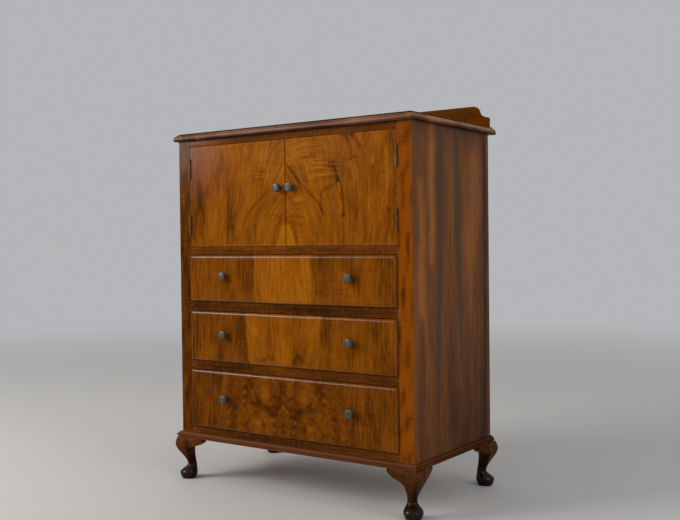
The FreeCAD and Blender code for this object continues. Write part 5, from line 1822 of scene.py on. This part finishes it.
# %% Ball catches
CATCH_X, CATCH_Y = 0.06, -0.219
BARREL_RADIUS, BARREL_PROUD, BALL_RADIUS, BALL_RINGS = 0.004, 0.00012, 0.003, 8
for name, side in SIDES:
    low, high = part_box(f"door_{name}_catch")
    centre = (side * CATCH_X, CATCH_Y)
    barrel = drum("barrel", centre, BARREL_RADIUS, low.z, door_high.z + BARREL_PROUD, 28, 0.0002)
    tilts = [math.radians(70) * i / BALL_RINGS for i in range(BALL_RINGS, 0, -1)]
    steps = [(BALL_RADIUS * math.sin(t), high.z - BALL_RADIUS * (1 - math.cos(t))) for t in tilts]
    ball = loft("ball", [circle(*step, 20, centre) for step in steps])
    catch = join(f"sprung_catch_{name}", [barrel, ball])
    places = corners_of(catch.data)[0]
    rim = np.hypot(places[:, 0] - centre[0], places[:, 1] - centre[1])
    paint(catch.data, "hollow", (np.abs(rim - BALL_RADIUS) < 0.0005).astype(float))
    dress(catch, f"door_{name}", "catch_metal", [f"door_{name}_catch"])
print("catches: 2")

# %% Catch plates
PLATE_LONG, PLATE_WIDE, PLATE_PROUD, PLATE_SCREW = 0.012, 0.005, 0.00015, 0.009
low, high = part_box("catch_plates")
plates = join("let_in_catch_plates", [
    edged_box("plate", (side * CATCH_X - PLATE_LONG, CATCH_Y - PLATE_WIDE, low.z - PLATE_PROUD),
              (side * CATCH_X + PLATE_LONG, CATCH_Y + PLATE_WIDE, high.z), 0.0002) for side in (-1, 1)])
paint_dirt(plates, 0.15)
dress(plates, "carcass", "catch_metal", ["catch_plates"])
spots = [(side * CATCH_X + step * PLATE_SCREW, CATCH_Y, low.z - PLATE_PROUD - 0.00003)
         for side in (-1, 1) for step in (-1, 1)]
plate_screws = copies("screws_catch_plates", screw, spots, "screw_steel", (math.pi, 0, 0), math.tau, 31)
dress(plate_screws, "carcass", "screw_steel")
bpy.data.objects.remove(screw)
print("plates: 2, screws:", len(spots))

# %% [markdown]
# ## Panel pins in the back
#
# The thin back is nailed on. Small pins run round it at equal steps. A curve round the panel is cut into
# equal lengths by Geometry Nodes and a pin head is set on every cut.

# %% Panel pins
PIN_EDGE, PIN_STEP, PIN_HEAD, HEAD_FLATNESS = 0.012, 0.075, 0.0014, 0.45


def pin_ring():
    net = Group("pins_round_a_panel", Width="Float", Height="Float", Step="Float", Place="Vector",
                Radius="Float")
    frame_line = net.node("GeometryNodeCurvePrimitiveQuadrilateral", {},
                          {"Width": net.asked["Width"], "Height": net.asked["Height"]})
    spots = net.node("GeometryNodeCurveToPoints", {"mode": "LENGTH"},
                     {"Curve": frame_line, "Length": net.asked["Step"]}, out="Points")
    head = net.node("GeometryNodeMeshUVSphere", {},
                    {"Segments": 10, "Rings": 6, "Radius": net.asked["Radius"]})
    heads = net.node("GeometryNodeInstanceOnPoints", {}, {"Points": spots, "Instance": head,
                                                          "Scale": (1.0, 1.0, HEAD_FLATNESS)})
    upright = net.node("GeometryNodeTransform", {}, {
        "Geometry": net.realized(heads), "Rotation": (math.pi / 2, 0, 0), "Translation": net.asked["Place"]})
    net.lead_out(upright)
    return net


low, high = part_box("back_panel")
nailed = pin_ring().worked_out(
    stand("panel_pins", bpy.data.meshes.new("panel_pins")), Width=high.x - low.x - 2 * PIN_EDGE,
    Height=high.z - low.z - 2 * PIN_EDGE, Step=PIN_STEP, Place=(0, high.y, (low.z + high.z) / 2),
    Radius=PIN_HEAD, Finish=FINISHES["screw_steel"])
paint_dirt(nailed, 0.3)
dress(nailed, "carcass", "screw_steel")
print("pin faces:", len(nailed.data.polygons))

# %% [markdown]
# ## Floor and light
#
# The stage is plain: one pale floor that fades into the colour of the surroundings, so that no horizon cuts
# behind the piece. Most of the light is a wide soft lamp, high up in front and to the left. The surroundings
# light the shaded side, and a weaker wide lamp keeps the right side from going flat.

# %% Floor
SURROUNDINGS, FLOOR_TONE = (0.455, 0.465, 0.48), (0.56, 0.54, 0.515)
FLOOR_REACH, FADE_FROM, FADE_TO = 14.0, 1.6, 6.5


def floor_finish():
    finish = Finish("pale_floor")
    place = finish.node("ShaderNodeTexCoord", out=3)
    away = finish.node("ShaderNodeVectorMath", {"operation": "LENGTH"}, {0: place}, out=1)
    finish.set(Base_Color=FLOOR_TONE, Roughness=0.6, Specular_IOR_Level=0.2)
    far = finish.node("ShaderNodeEmission", {}, {"Color": SURROUNDINGS, "Strength": 1.0})
    near = Flow(finish, finish.shader.outputs[0])
    faded = finish.node("ShaderNodeMixShader", {}, {0: away.between(FADE_FROM, FADE_TO), 1: near, 2: far})
    finish.feed(finish.tree.nodes["Material Output"].inputs["Surface"], faded)
    return finish.material


rim = circle(FLOOR_REACH, 0, 64)
floor_mesh = bpy.data.meshes.new("floor")
floor_mesh.from_pydata(rim, [], [tuple(range(len(rim)))])
floor_mesh.materials.append(floor_finish())
stand("floor", floor_mesh)
print("floor:", 2 * FLOOR_REACH, "m across")

# %% Lamps
def soft_lamp(name, place, aim, size, power, tint):
    lamp = bpy.data.lights.new(name, "AREA")
    lamp.size = size
    lamp.energy = power
    lamp.color = tint
    holder = stand(name, lamp)
    holder.location = place
    holder.rotation_euler = (Vector(aim) - Vector(place)).to_track_quat("-Z", "Y").to_euler()


soft_lamp("key", (-2.7, -3.0, 2.3), (0, -0.2, 0.6), 2.2, 150, (1.0, 0.97, 0.93))
soft_lamp("side", (3.6, -0.6, 2.0), (0.3, 0, 0.6), 2.4, 38, (0.97, 0.98, 1.0))
world = bpy.data.worlds.new("surroundings")
bpy.context.scene.world = world
world.use_nodes = True
air = world.node_tree.nodes["Background"]
air.inputs["Color"].default_value = (*SURROUNDINGS, 1.0)
air.inputs["Strength"].default_value = 1.0
print("lamps:", len(bpy.data.lights))
